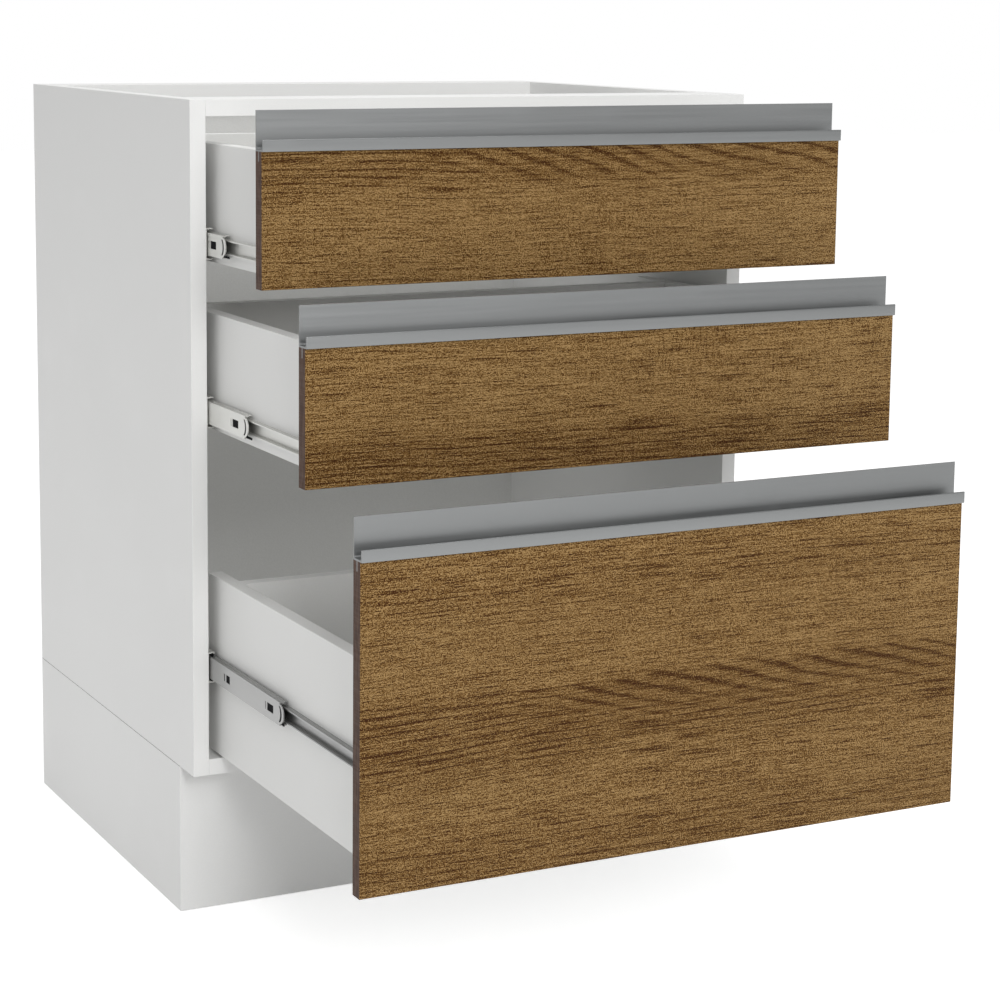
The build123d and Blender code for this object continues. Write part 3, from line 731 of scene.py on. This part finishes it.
# ---- runners
@dataclass(eq=False)
class RunnerSection:
    """The rolled section of a runner: u from the cabinet side, v up from its middle."""

    height: float = 0.035
    sheet: float = 0.0012
    ball: float = 0.0020
    play: float = 0.0003
    lip: float = 0.0012
    side_play: float = 0.0005
    corner: float = 0.0001
    cage_sheet: float = 0.0004
    cage_past_ball: float = 0.0003
    ball_hole: float = 0.0021
    half_angle: float = 37.5
    steps: int = 9

    def __post_init__(self) -> None:
        """Works out each web's u and the balls' middles, from the cabinet side inwards.

        A raceway is an arc over a ball: reach is half its width, and rise how far its
        ends are above or below the ball's middle.
        """
        half, half_cage = self.sheet / 2, self.cage_sheet / 2
        cosine = np.cos(radians(self.half_angle))
        self.race_radius = self.ball + self.play + half
        self.reach = self.race_radius * np.sin(radians(self.half_angle))
        self.rise = self.race_radius * cosine
        self.outer_cage_u = self.sheet + self.play + half_cage
        self.middle_web_u = self.outer_cage_u + half_cage + self.play + half
        self.inner_cage_u = self.middle_web_u + half + self.play + half_cage
        u = self.middle_web_u + half + self.corner + self.reach
        v = self.height / 2 - half - self.race_radius
        self.outer_ball = (u, v)
        self.inner_ball = (u + 2 * self.reach, v - 2 * self.rise)
        tip = self.inner_ball[0] + self.reach + cosine * half
        self.drawer_web_u = tip + self.side_play + half

    def race(self, ball: Pair, over: int) -> np.ndarray:
        """The arc over (1) or under (-1) a ball: centre plus radius times (sin a, cos a)."""
        turn = np.radians(np.linspace(-self.half_angle, self.half_angle, self.steps))
        u = ball[0] + self.race_radius * np.sin(turn)
        v = ball[1] + over * self.race_radius * np.cos(turn)
        return np.stack([u, v], axis=-1)

    def halves(self, upper: list, rows: tuple[float, ...]) -> np.ndarray:
        """A whole section from its upper half, whose first point is on the web.

        Args:
            upper: points and arcs from the web's top to the lip.
            rows: heights on the web that need a point of their own.

        Returns:
            Points from the lower lip to the upper lip.
        """
        half = np.vstack(upper)
        levels = np.array(sorted({-r for r in rows} | set(rows)))
        web = np.stack([np.full(len(levels), half[0, 0]), levels], axis=-1)
        return np.vstack([half[::-1] * (1.0, -1.0), web, half])

    def cabinet(self) -> np.ndarray:
        """The cabinet channel, folded over the outer balls."""
        u, v = self.outer_ball
        rim = v + self.rise
        lip = (u + self.reach + self.lip, rim)
        return self.halves([(self.sheet / 2, rim), self.race((u, v), 1), lip], (0.0016,))

    def middle(self) -> np.ndarray:
        """The middle channel, under the outer balls and over the inner ones."""
        u, v = self.outer_ball
        upper = [(self.middle_web_u, v - self.rise), self.race((u, v), -1),
                 self.race(self.inner_ball, 1)[1:]]
        rows = (0.0012, 0.0025, 0.00425, 0.0058, 0.0072, 0.0085, 0.0095, 0.0102, 0.0105)
        return self.halves(upper, rows)

    def drawer(self) -> np.ndarray:
        """The drawer channel, folded under the inner balls."""
        u, v = self.inner_ball
        rim = v - self.rise
        lip = (u - self.reach - self.lip, rim)
        upper = [(self.drawer_web_u, rim), self.race((u, v), -1)[::-1], lip]
        return self.halves(upper, (0.0022, 0.0040))

    def cage(self, web_u: float, arm_v: float, ball_u: float) -> np.ndarray:
        """A cage: a flat web with an arm past each row of balls."""
        tip = ball_u + self.ball + self.cage_past_ball
        spots = (web_u, ball_u - self.ball_hole, ball_u + self.ball_hole, tip)
        return self.halves([(u, arm_v) for u in spots], (0.004,))


@dataclass(frozen=True)
class Seat:
    """Where a runner piece goes: the side panel's face, the piece's front and its middle."""

    wall: float
    front: float
    level: float

    def at(self, hand: Hand, u: object, s: object, v: object) -> np.ndarray:
        """The places (hand (wall - u), front + s, level + v), for numbers or arrays."""
        spot = (hand.value * (self.wall - u), self.front + s, self.level + v)
        return np.stack(np.broadcast_arrays(*spot), axis=-1)


def bow(v: np.ndarray, depth: float) -> np.ndarray:
    """How far a nose's curve has fallen back at height v: half an ellipse."""
    return depth * (1.0 - np.sqrt(np.clip(1.0 - (v / NOSE_HALF) ** 2, 0.0, 1.0)))


@dataclass(frozen=True)
class Opening:
    """A hole cut in a rolled strip, between two corners in u, v and distance from its front."""

    u: Pair
    v: Pair
    along: Pair


@dataclass(frozen=True)
class Strip:
    """A strip of sheet with one section all the way along Y, cut and rounded at its front."""

    section: np.ndarray
    length: float
    openings: tuple[Opening, ...] = ()
    nose: float = 0.0
    nose_bows: float = 0.0085
    nose_ends: float = 0.022

    def shape(self, hand: Hand, seat: Seat) -> Shape:
        """The middle surface of the strip, on a grid of distances and section places.

        The section's (u, v) at distance s is seated at (u, s + bow(v), v), and past
        nose_bows at (u, s, v). Cells whose middles are in an opening are left out.

        Args:
            hand: the side of the cabinet.
            seat: where the strip goes.

        Returns:
            Points and faces.
        """
        ends = [end for hole in self.openings for end in hole.along]
        bowed = {self.nose_ends} if self.nose else set()
        stations = np.array(sorted({0.0, self.length, *bowed, *ends}))
        u, v = self.section.T
        fall = bow(v, self.nose)
        fade = np.where(stations[:, None] > self.nose_bows, 0.0, 1.0)
        points = seat.at(hand, u, stations[:, None] + fade * fall, v)
        index = np.arange(points.size // 3).reshape(len(stations), len(u))
        keep = np.ones((len(stations) - 1, len(u) - 1), bool)
        s = stations[:, None]
        for hole in self.openings:
            within = True
            for edges, (low, high) in ((s, hole.along), (u, hole.u), (v, hole.v)):
                middle = (edges[:-1] + edges[1:]) / 2
                within = within & (middle > low) & (middle < high)
            keep &= ~within
        corners = [index[:-1, :-1], index[1:, :-1], index[1:, 1:], index[:-1, 1:]]
        cells = np.stack(corners, axis=-1)[keep]
        if hand is Hand.RIGHT:
            cells = cells[:, ::-1]
        return points.reshape(-1, 3), cells.tolist()

    def both(self, *seats: Seat) -> list[Shape]:
        """The strip's left and right hand at each seat."""
        return [self.shape(hand, seat) for seat in seats for hand in Hand]


@dataclass(frozen=True)
class Ribbon:
    """A thin closed piece in a channel's web, between two curves across it."""

    u: Pair
    v: Pair
    along: Pair
    gap: float = 0.0
    nose: float = 0.0
    steps: int = 17

    def shape(self, hand: Hand, seat: Seat) -> Shape:
        """A tube of four corners at each height v, closed at both ends.

        The corners are seated at (u, s + bow(v), v), for both u and for both distances s,
        held gap inside the opening's edges.

        Args:
            hand: the side of the cabinet.
            seat: where the channel goes.

        Returns:
            Points and faces.
        """
        v = np.linspace(self.v[0] + self.gap, self.v[1] - self.gap, self.steps)
        back = bow(v, self.nose)
        ends = (self.along[0] + self.gap, self.along[1] - self.gap)
        sides = ((0, 0), (1, 0), (1, 1), (0, 1))
        rows = [seat.at(hand, self.u[u], ends[s] + back, v) for u, s in sides]
        points = np.stack(rows, axis=1).reshape(-1, 3)
        index = np.arange(self.steps * 4).reshape(self.steps, 4)
        ahead = np.roll(index, -1, axis=1)
        walls = np.stack([index[:-1], ahead[:-1], ahead[1:], index[1:]], axis=-1).reshape(-1, 4)
        faces = [*walls, index[0][::-1], index[-1]]
        if hand is Hand.LEFT:
            faces = [face[::-1] for face in faces]
        return points, faces


@dataclass
class Runners:
    """The telescopic runners of all drawers: channels, cages, balls, black stops, and black
    sheets of painted shade in the middle channels' holes.
    """

    section: RunnerSection = RunnerSection()
    ball_sides: int = 14
    ball_rings: int = 9
    screw_setback: float = 0.035
    screw_pitch: float = 0.288
    screw_hole: float = 0.0022
    window: Pair = (0.0270, 0.0435)
    tongue: Pair = (0.0470, 0.0485)
    slot: Pair = (0.1495, 0.1600)
    bar: Pair = (0.1640, 0.1665)
    window_half: float = 0.00425
    slit: Pair = (0.0046, 0.0084)
    slit_half: float = 0.0085
    nose: float = 0.010
    past_web: float = 0.0005
    filling_front: float = 0.0001
    filling_gap: float = 0.00005
    stop_front: float = 0.0004
    stop_v: Pair = (-0.0105, -0.0082)
    stop_back: float = 0.0060
    stop_ahead: float = 0.010
    deep_stop_ahead: float = 0.001
    plug_radius: float = 0.0020
    plug_length: float = 0.0048
    plug_edge: float = 0.0006
    balls_per_row: int = 3
    ball_pitch: float = 0.024
    near_arm: float = 0.001

    def steel(self, drawer: Drawer) -> str:
        """A drawer's runner finish: the deep one's is a darker copy, painted shade for its darker
        reflection.
        """
        return "deep_runner_steel" if drawer is Drawer.DEEP else "runner_steel"

    def seat(self, node: str, level_node: str) -> Seat:
        """Where the pieces of a node go, at the middle height of level_node."""
        low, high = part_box(level_node)
        wall = -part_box("side_panel_left")[1][0]
        return Seat(wall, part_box(node)[0][1], (low[2] + high[2]) / 2)

    def length(self, node: str) -> float:
        """How long a node is along Y."""
        low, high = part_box(node)
        return high[1] - low[1]

    def holes(self, web: float, half: float, *spans: Pair) -> tuple[Opening, ...]:
        """Openings half high to each side of the web's middle, one for each span along it."""
        near = (web - self.past_web, web + self.past_web)
        return tuple(Opening(near, (-half, half), span) for span in spans)

    def channel(self, drawer: Drawer, part: str, body: str, section: np.ndarray,
                holes: tuple[Opening, ...], nose: float = 0.0) -> None:
        """One pair of channels in the place of one of a drawer's nodes.

        Args:
            drawer: the drawer.
            part: the node's name without the drawer's.
            body: the body they ride on.
            section: their section.
            holes: what is cut out of them.
            nose: how far their front ends are rounded back.
        """
        node = drawer.node(part)
        strip = Strip(section, self.length(node), holes, nose)
        parts = strip.both(self.seat(node, node))
        sheet = self.section.sheet
        make_piece(f"{node}_rolled", parts, self.steel(drawer), body, node, sheet=sheet)

    def middle_channels(self, drawer: Drawer) -> None:
        """The middle channels, with their rounded noses, windows and slots."""
        web = self.section.middle_web_u
        slits = self.holes(web, self.slit_half, self.slit)
        windows = (self.window, self.tongue, self.slot, self.bar)
        holes = slits + self.holes(web, self.window_half, *windows)
        part = "middle_channels"
        self.channel(drawer, part, drawer.node(part), self.section.middle(), holes, self.nose)

    def shade_fillings_and_stops(self, drawer: Drawer) -> None:
        """The black pieces of the middle channels: window and slit fillings, which are painted
        shade where the holes show darkness, and a stop.

        The stop, under the nose, reaches ahead of it only where the channel, once shut,
        is far enough behind the drawer's front.
        """
        node = drawer.node("middle_channels")
        seat = self.seat(node, node)
        web = self.section.middle_web_u
        inside = (web - self.filling_front, web + self.past_web)
        half, tall, gap = self.window_half, self.slit_half, self.filling_gap
        ahead = self.deep_stop_ahead if drawer is Drawer.DEEP else self.stop_ahead
        # painted shade: black sheets fill the window, slot, bar and slit, where the holes show
        # darkness
        spans = (self.window, self.slot, self.bar)
        ribbons = [Ribbon(inside, (-half, half), span, gap) for span in spans]
        ribbons.append(Ribbon(inside, (-tall, tall), self.slit, gap, self.nose))
        around = (web - self.stop_front, web + self.past_web)
        ribbons.append(Ribbon(around, self.stop_v, (-ahead, self.stop_back)))
        parts = [one.shape(hand, seat) for hand in Hand for one in ribbons]
        make_piece(f"{drawer.value}_runner_shade_fillings_and_stops", parts, "catch", node, sharp=0.0)

    def drawer_channels(self, drawer: Drawer) -> None:
        """The channels on the drawer box, with their two screw holes."""
        half = self.screw_hole
        spots = [self.screw_setback + step * self.screw_pitch for step in range(2)]
        spans = [(at - half, at + half) for at in spots]
        holes = self.holes(self.section.drawer_web_u, half, *spans)
        self.channel(drawer, "drawer_channels", drawer.body, self.section.drawer(), holes)

    def cabinet_channels(self) -> None:
        """The channels on the side panels, one pair for each drawer."""
        node = "cabinet_channels"
        seats = [self.seat(node, drawer.node("middle_channels")) for drawer in Drawer]
        parts = Strip(self.section.cabinet(), self.length(node)).both(*seats)
        sheet = self.section.sheet
        make_piece(f"{node}_rolled", parts, "runner_steel", "carcass", node, sheet=sheet)

    def cage_stops(self) -> None:
        """Black plugs that keep the cages in, at the front of the deep drawer's raceways.

        The photograph shows them at that drawer only. Each is a cylinder whose front edge
        is a quarter circle of radius e, (R - e + e sin t, e cos t - e).
        """
        ball_u, ball_v = self.section.outer_ball
        turn = np.linspace(0.0, np.pi / 2, 5)
        edge, size, length = self.plug_edge, self.plug_radius, self.plug_length
        radius = np.concatenate([[0.0], size - edge + edge * np.sin(turn), [size, 0.0]])
        height = np.concatenate([[0.0], edge * np.cos(turn) - edge, [-length, -length]])
        points, faces = lathe(radius, height, self.ball_sides)
        seat = self.seat("cabinet_channels", Drawer.DEEP.node("middle_channels"))
        spots = [seat.at(hand, ball_u, 0.0, side * ball_v) for hand in Hand for side in (-1, 1)]
        parts = [(stood(points, (0.0, -1.0, 0.0), spot), faces) for spot in spots]
        make_piece("deep_runner_cage_stops", parts, "catch", "carcass", sharp=50.0)

    def cages(self, drawer: Drawer, ring: str) -> None:
        """A pair of ball cages and their balls.

        Args:
            drawer: the drawer they carry.
            ring: "outer" or "inner".
        """
        node = drawer.node(f"{ring}_ball_cages")
        seat = self.seat(node, node)
        section, steel = self.section, self.steel(drawer)
        web_u, (ball_u, ball_v) = section.outer_cage_u, section.outer_ball
        arm_v = ball_v
        if ring == "inner":
            floor = section.outer_ball[1] - section.race_radius
            web_u, (ball_u, ball_v) = section.inner_cage_u, section.inner_ball
            arm_v = (floor + ball_v - section.rise) / 2
        spots = (np.arange(self.balls_per_row) + 0.5) * self.ball_pitch
        hole, near = section.ball_hole, self.near_arm
        openings = tuple(
            Opening((ball_u - hole, ball_u + hole), limits, (spot - hole, spot + hole))
            for spot in spots
            for limits in ((arm_v - near, arm_v + near), (-arm_v - near, -arm_v + near))
        )
        outline = section.cage(web_u, arm_v, ball_u)
        parts = Strip(outline, self.length(node), openings).both(seat)
        make_piece(f"{node}_bent", parts, steel, node, node, sheet=section.cage_sheet)
        turn = np.linspace(0.0, np.pi, self.ball_rings)
        radius, height = section.ball * np.sin(turn), section.ball * np.cos(turn)
        points, faces = lathe(radius, height, self.ball_sides)
        balls = [
            (points + seat.at(hand, ball_u, spot, side * ball_v), faces)
            for hand in Hand
            for spot in spots
            for side in (-1, 1)
        ]
        make_piece(f"{node}_balls", balls, steel, node, sharp=180.0)

    def build(self) -> None:
        """Builds every piece of the runners."""
        self.cabinet_channels()
        self.cage_stops()
        for drawer in Drawer:
            self.middle_channels(drawer)
            self.shade_fillings_and_stops(drawer)
            self.drawer_channels(drawer)
            for ring in ("outer", "inner"):
                self.cages(drawer, ring)


# ---- screws and cams
@dataclass(frozen=True)
class Fastener:
    """A turned fastener with a cross recess: its head, its shank and its recess."""

    head_radius: float
    head_height: float
    shank_radius: float
    shank_length: float
    dome: float = 0.35
    sides: int = 32
    cross_depth: float = 0.0011
    cross_radius: float = 0.0021
    cross_width: float = 0.0009

    def shape(self) -> Shape:
        """A domed head, height (1 - dome (r / R)^2), on a straight shank with a point."""
        rise = np.linspace(0.0, 1.0, 9)
        radius = self.head_radius * rise
        height = self.head_height * (1.0 - self.dome * rise**2)
        below = [self.head_radius * 0.98, self.shank_radius, self.shank_radius, 0.0]
        levels = [0.0, 0.0, -self.shank_length * 0.9, -self.shank_length]
        cross = (self.cross_depth, self.cross_radius, self.cross_width)
        radii, heights = np.concatenate([radius, below]), np.concatenate([height, levels])
        return lathe(radii, heights, self.sides, *cross)


def node_solids(node: str) -> list[tuple[np.ndarray, np.ndarray]]:
    """The lowest and highest corner of each separate solid of a node.

    Points within 0.01 mm are one. The smallest point number is passed along the
    triangles until nothing changes.

    Args:
        node: the node's name.

    Returns:
        A pair of corners for each solid.
    """
    mesh = frame["nodes"][node].data
    points = np.empty(len(mesh.vertices) * 3)
    mesh.vertices.foreach_get("co", points)
    points = points.reshape(-1, 3)
    triangles = np.empty(len(mesh.loops), int)
    mesh.loops.foreach_get("vertex_index", triangles)
    same = np.unique(np.round(points, 5), axis=0, return_inverse=True)[1].reshape(-1)
    triangles = same[triangles.reshape(-1, 3)]
    fresh, label = np.arange(same.max() + 1), None
    while not np.array_equal(fresh, label):
        label = fresh.copy()
        np.minimum.at(fresh, triangles, label[triangles].min(axis=1)[:, None])
    owner = label[same]
    solids = [points[owner == one] for one in np.unique(owner)]
    return [(solid.min(axis=0), solid.max(axis=0)) for solid in solids]


@dataclass
class Fasteners:
    """Screws and cams, each seated where its solid is."""

    pan: Fastener = Fastener(0.003, 0.0018, 0.0016, 0.0087)
    front: Fastener = Fastener(0.0038, 0.0018, 0.002, 0.028, cross_radius=0.0027)
    plinth: Fastener = Fastener(0.0038, 0.0018, 0.002, 0.062, cross_radius=0.0027)
    sunk: Fastener = Fastener(0.0028, 0.0, 0.0016, 0.0132, dome=0.0, cross_depth=0.0009,
                              cross_radius=0.0019)
    cam: Fastener = Fastener(0.0075, 0.0, 0.0075, 0.0125, dome=0.0, cross_depth=0.0025,
                             cross_radius=0.0052, cross_width=0.0015)

    def seat(self, node: str, body: str, kind: Fastener, facing: str,
             slot: str = "zinc_steel") -> None:
        """Makes one fastener for each solid of a node.

        Args:
            node: the node whose solids they stand for.
            body: the body they ride on.
            kind: the fastener.
            facing: where heads face: the cabinet's "middle" or "sides", "back" or "down".
            slot: the record's material slot.
        """
        parts = []
        points, faces = kind.shape()
        for low, high in node_solids(node):
            place = (low + high) / 2
            side = np.sign(place[0])
            number, sign = {"middle": (0, -side), "sides": (0, side), "back": (1, 1.0),
                            "down": (2, -1.0)}[facing]
            axis = np.zeros(3)
            axis[number] = sign
            end = high[number] if sign > 0 else low[number]
            place[number] = end - sign * kind.head_height
            parts.append((stood(points, tuple(axis), place), faces))
        make_piece(f"{node}_turned", parts, slot, body, node, sharp=40.0)

    def build(self) -> None:
        """Builds every screw and cam."""
        self.seat("cabinet_channel_screws", "carcass", self.sunk, "middle")
        self.seat("plinth_screws", "carcass", self.plinth, "down")
        self.seat("cam_fittings", "carcass", self.cam, "down", "cast_zinc")
        for drawer in Drawer:
            self.seat(drawer.node("drawer_channel_screws"), drawer.body, self.pan, "sides")
            self.seat(drawer.node("front_screws"), drawer.body, self.front, "back")


# ---- fronts
def dot(first: np.ndarray, second: np.ndarray) -> np.ndarray:
    """The dot product of each pair of rows, as a column."""
    return (first * second).sum(axis=1, keepdims=True)


def unit(rows: np.ndarray) -> np.ndarray:
    """Rows scaled to a length of one."""
    return rows / np.sqrt(dot(rows, rows))


@dataclass
class HandleProfile:
    """The extruded aluminium profile on top of each front."""

    flange: float = 0.0015
    web: float = 0.0018
    lip_height: float = 0.012
    lip: float = 0.0022
    rib: float = 0.0016
    rib_depth: float = 0.010
    rib_corner: float = 0.0001
    inner_radius: float = 0.0025
    rim_radius: float = 0.0010
    edge_radius: float = 0.0003
    steps: int = 7

    def rounded(self, corners: list[Place]) -> np.ndarray:
        """A closed outline with each corner (y, z, radius) replaced by its arc.

        Its points are centre + radius (cos a, sin a), from one tangent point to the other.

        Args:
            corners: the outline's corners, each with the radius of its arc.

        Returns:
            The outline's points, one row each.
        """
        spots, radius = np.array(corners)[:, :2], np.array(corners)[:, 2:]
        back, ahead = (unit(np.roll(spots, step, axis=0) - spots) for step in (1, -1))
        half = np.arccos(np.clip(dot(back, ahead), -1.0, 1.0)) / 2
        centre = spots + unit(back + ahead) * radius / np.sin(half)
        first = spots + back * radius / np.tan(half) - centre
        last = spots + ahead * radius / np.tan(half) - centre
        start = np.arctan2(first[:, 1:], first[:, :1])
        swing = np.arctan2(dot(first * (1.0, -1.0), last[:, ::-1]), dot(first, last))
        turn = start + swing * np.linspace(0.0, 1.0, self.steps)
        arcs = np.stack([np.cos(turn), np.sin(turn)], axis=-1)
        return (centre[:, None] + radius[:, None] * arcs).reshape(-1, 2)

    def build(self, drawer: Drawer) -> None:
        """Carries the profile's outline along X, from end to end of the front."""
        node = drawer.node("handle_profile")
        (left, front, _), (right, back, top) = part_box(node)
        panel_low, panel_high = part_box(drawer.node("front_panel"))
        wood_top = panel_high[2]
        rib_middle = (panel_low[1] + panel_high[1]) / 2
        rib_front, rib_back = rib_middle - self.rib / 2, rib_middle + self.rib / 2
        floor, lip_top = wood_top + self.web, wood_top + self.lip_height
        tiny = self.edge_radius
        outline = self.rounded([
            (back, wood_top, tiny),
            (back, top, tiny),
            (back - self.flange, top, tiny),
            (back - self.flange, floor, self.inner_radius),
            (front + self.lip, floor, self.inner_radius),
            (front + self.lip, lip_top, self.rim_radius),
            (front, lip_top, self.rim_radius),
            (front, wood_top, tiny),
            (rib_front, wood_top, self.rib_corner),
            (rib_front, wood_top - self.rib_depth, tiny),
            (rib_back, wood_top - self.rib_depth, tiny),
            (rib_back, wood_top, self.rib_corner),
        ])
        count = len(outline)
        points = np.vstack([np.column_stack([np.full(count, x), outline]) for x in (left, right)])
        index = np.arange(count)
        ahead = np.roll(index, -1)
        walls = np.stack([index, ahead, ahead + count, index + count], axis=-1)
        faces = [*walls.tolist(), index[::-1].tolist(), (index + count).tolist()]
        make_piece(f"{node}_drawn", [(points, faces)], "handle_aluminium", drawer.body, node)


# ---- boards
@dataclass
class Boards:
    """The pieces that keep their solids: their finishes, and the boards' softened arrises."""

    arris: float = 0.0004
    softened: tuple[str, ...] = ("carcass_board", "plinth_board", "box_board", "pine_block")

    def build(self) -> None:
        """Dresses every node by its slot, and softens the arrises of the boards."""
        for part in frame["record"]["subparts"]:
            node = frame["nodes"][part["node"]]
            slot = part["material_slot"]
            node.data.materials.clear()
            node.data.materials.append(looks[slot])
            if slot in self.softened:
                weld = node.modifiers.new("weld", "WELD")
                weld.merge_threshold = 0.00001
                bevel = node.modifiers.new("arris", "BEVEL")
                bevel.width = self.arris
                bevel.segments = 2
                bevel.limit_method = "ANGLE"
                bevel.angle_limit = radians(60.0)
            log.info("%s: %s", part["node"], slot)


# ---- studio
@dataclass(frozen=True)
class Lamp:
    """A square soft lamp: its place, its side in metres and its power in watts."""

    name: str
    place: Place
    size: float
    watts: float

    def build(self, aim: Place) -> None:
        """Hangs the lamp.

        Args:
            aim: the place that it faces.
        """
        data = bpy.data.lights.new(self.name, "AREA")
        data.shape = "SQUARE"
        data.size = self.size
        data.energy = self.watts
        lamp = linked(self.name, data)
        lamp.location = self.place
        lamp.rotation_mode = "QUATERNION"
        lamp.rotation_quaternion = (Vector(aim) - Vector(self.place)).to_track_quat("-Z", "Y")


@dataclass
class Studio:
    """A pale floor, soft light and the camera at the photograph's angle."""

    camera_place: Place = (-1.2772, -3.0310, 1.0115)
    camera_turn: Place = (81.9098, -0.4145, -26.1123)
    focal_pixels: float = 2458.4
    picture_pixels: float = 1000.0
    middle_pixel: Pair = (430.0, 360.0)
    floor_half: float = 14.0
    floor_drop: float = 0.0006
    floor_glow: float = 0.56
    ambient: float = 0.62
    mirrored: float = 0.6
    lamps_face: Place = (0.0, -0.4, 0.45)
    lamps: tuple[Lamp, ...] = (
        Lamp("front_lamp", (-0.7, -5.3, 3.4), 2.6, 80.0),
        Lamp("fill_lamp", (-0.9, -4.4, 1.9), 1.0, 36.0),
        Lamp("top_lamp", (0.0, -0.4, 2.6), 1.2, 15.0),
    )

    def camera(self) -> None:
        """The camera: its lens and shift come from the fitted pixel values."""
        data = bpy.data.cameras.new("camera")
        data.sensor_width = 36.0
        data.lens = data.sensor_width * self.focal_pixels / self.picture_pixels
        centre = self.picture_pixels / 2
        data.shift_x = (centre - self.middle_pixel[0]) / self.picture_pixels
        data.shift_y = (self.middle_pixel[1] - centre) / self.picture_pixels
        data.clip_end = 100.0
        camera = linked("camera", data)
        camera.location = self.camera_place
        camera.rotation_euler = [radians(angle) for angle in self.camera_turn]
        bpy.context.scene.camera = camera

    def floor(self) -> None:
        """A pale floor that is white where nothing shades it and keeps soft shadows."""
        half, level = self.floor_half, -self.floor_drop
        corners = [(x * half, y * half, level) for x, y in ((-1, -1), (1, -1), (1, 1), (-1, 1))]
        mesh = bpy.data.meshes.new("floor")
        mesh.from_pydata(corners, [], [(0, 1, 2, 3)])
        floor = linked("floor", mesh)
        material = bpy.data.materials.new("pale_floor")
        material.use_nodes = True
        g = Graph(material.node_tree)
        rays = g.add("LightPath").outputs
        mottle = g.noise(g.place(), (3.0, 3.0, 3.0), 3.0)
        colour = g.mix(mottle, (0.80, 0.80, 0.80, 1.0), (0.84, 0.84, 0.84, 1.0))
        diffuse = g.add("BsdfDiffuse", {"Color": colour})
        seen = g.math("MAXIMUM", rays["Is Camera Ray"], rays["Is Glossy Ray"])
        glow = g.add("Emission", {"Strength": g.times(seen, self.floor_glow)})
        both = g.add("AddShader", {0: diffuse.outputs[0], 1: glow.outputs[0]})
        g.add("OutputMaterial", {"Surface": both.outputs[0]})
        mesh.materials.append(material)

    def world(self) -> None:
        """White to the camera, paler in reflections, and a plain light to everything else."""
        world = bpy.data.worlds.new("studio")
        bpy.context.scene.world = world
        world.use_nodes = True
        g = Graph(world.node_tree)
        rays = g.add("LightPath").outputs
        seen = g.math("MAXIMUM", rays["Is Camera Ray"], rays["Is Transmission Ray"])
        seen = g.math("MAXIMUM", seen, g.times(rays["Is Glossy Ray"], self.mirrored))
        strength = g.math("MAXIMUM", seen, self.ambient)
        back = g.add("Background", {"Color": (1.0, 1.0, 1.0, 1.0), "Strength": strength})
        g.add("OutputWorld", {"Surface": back.outputs[0]})

    def build(self) -> None:
        """Builds the studio."""
        self.camera()
        self.floor()
        self.world()
        for lamp in self.lamps:
            lamp.build(self.lamps_face)
        bpy.context.scene.view_settings.view_transform = "Standard"


def main() -> None:
    """Builds the dressed cabinet, piece by piece."""
    logging.basicConfig(level=logging.INFO, format="%(name)s %(message)s")
    Studio().build()
    Boards().build()
    Runners().build()
    Fasteners().build()
    for drawer in Drawer:
        HandleProfile().build(drawer)
    log.info("pieces done")


if __name__ == "__main__":
    main()
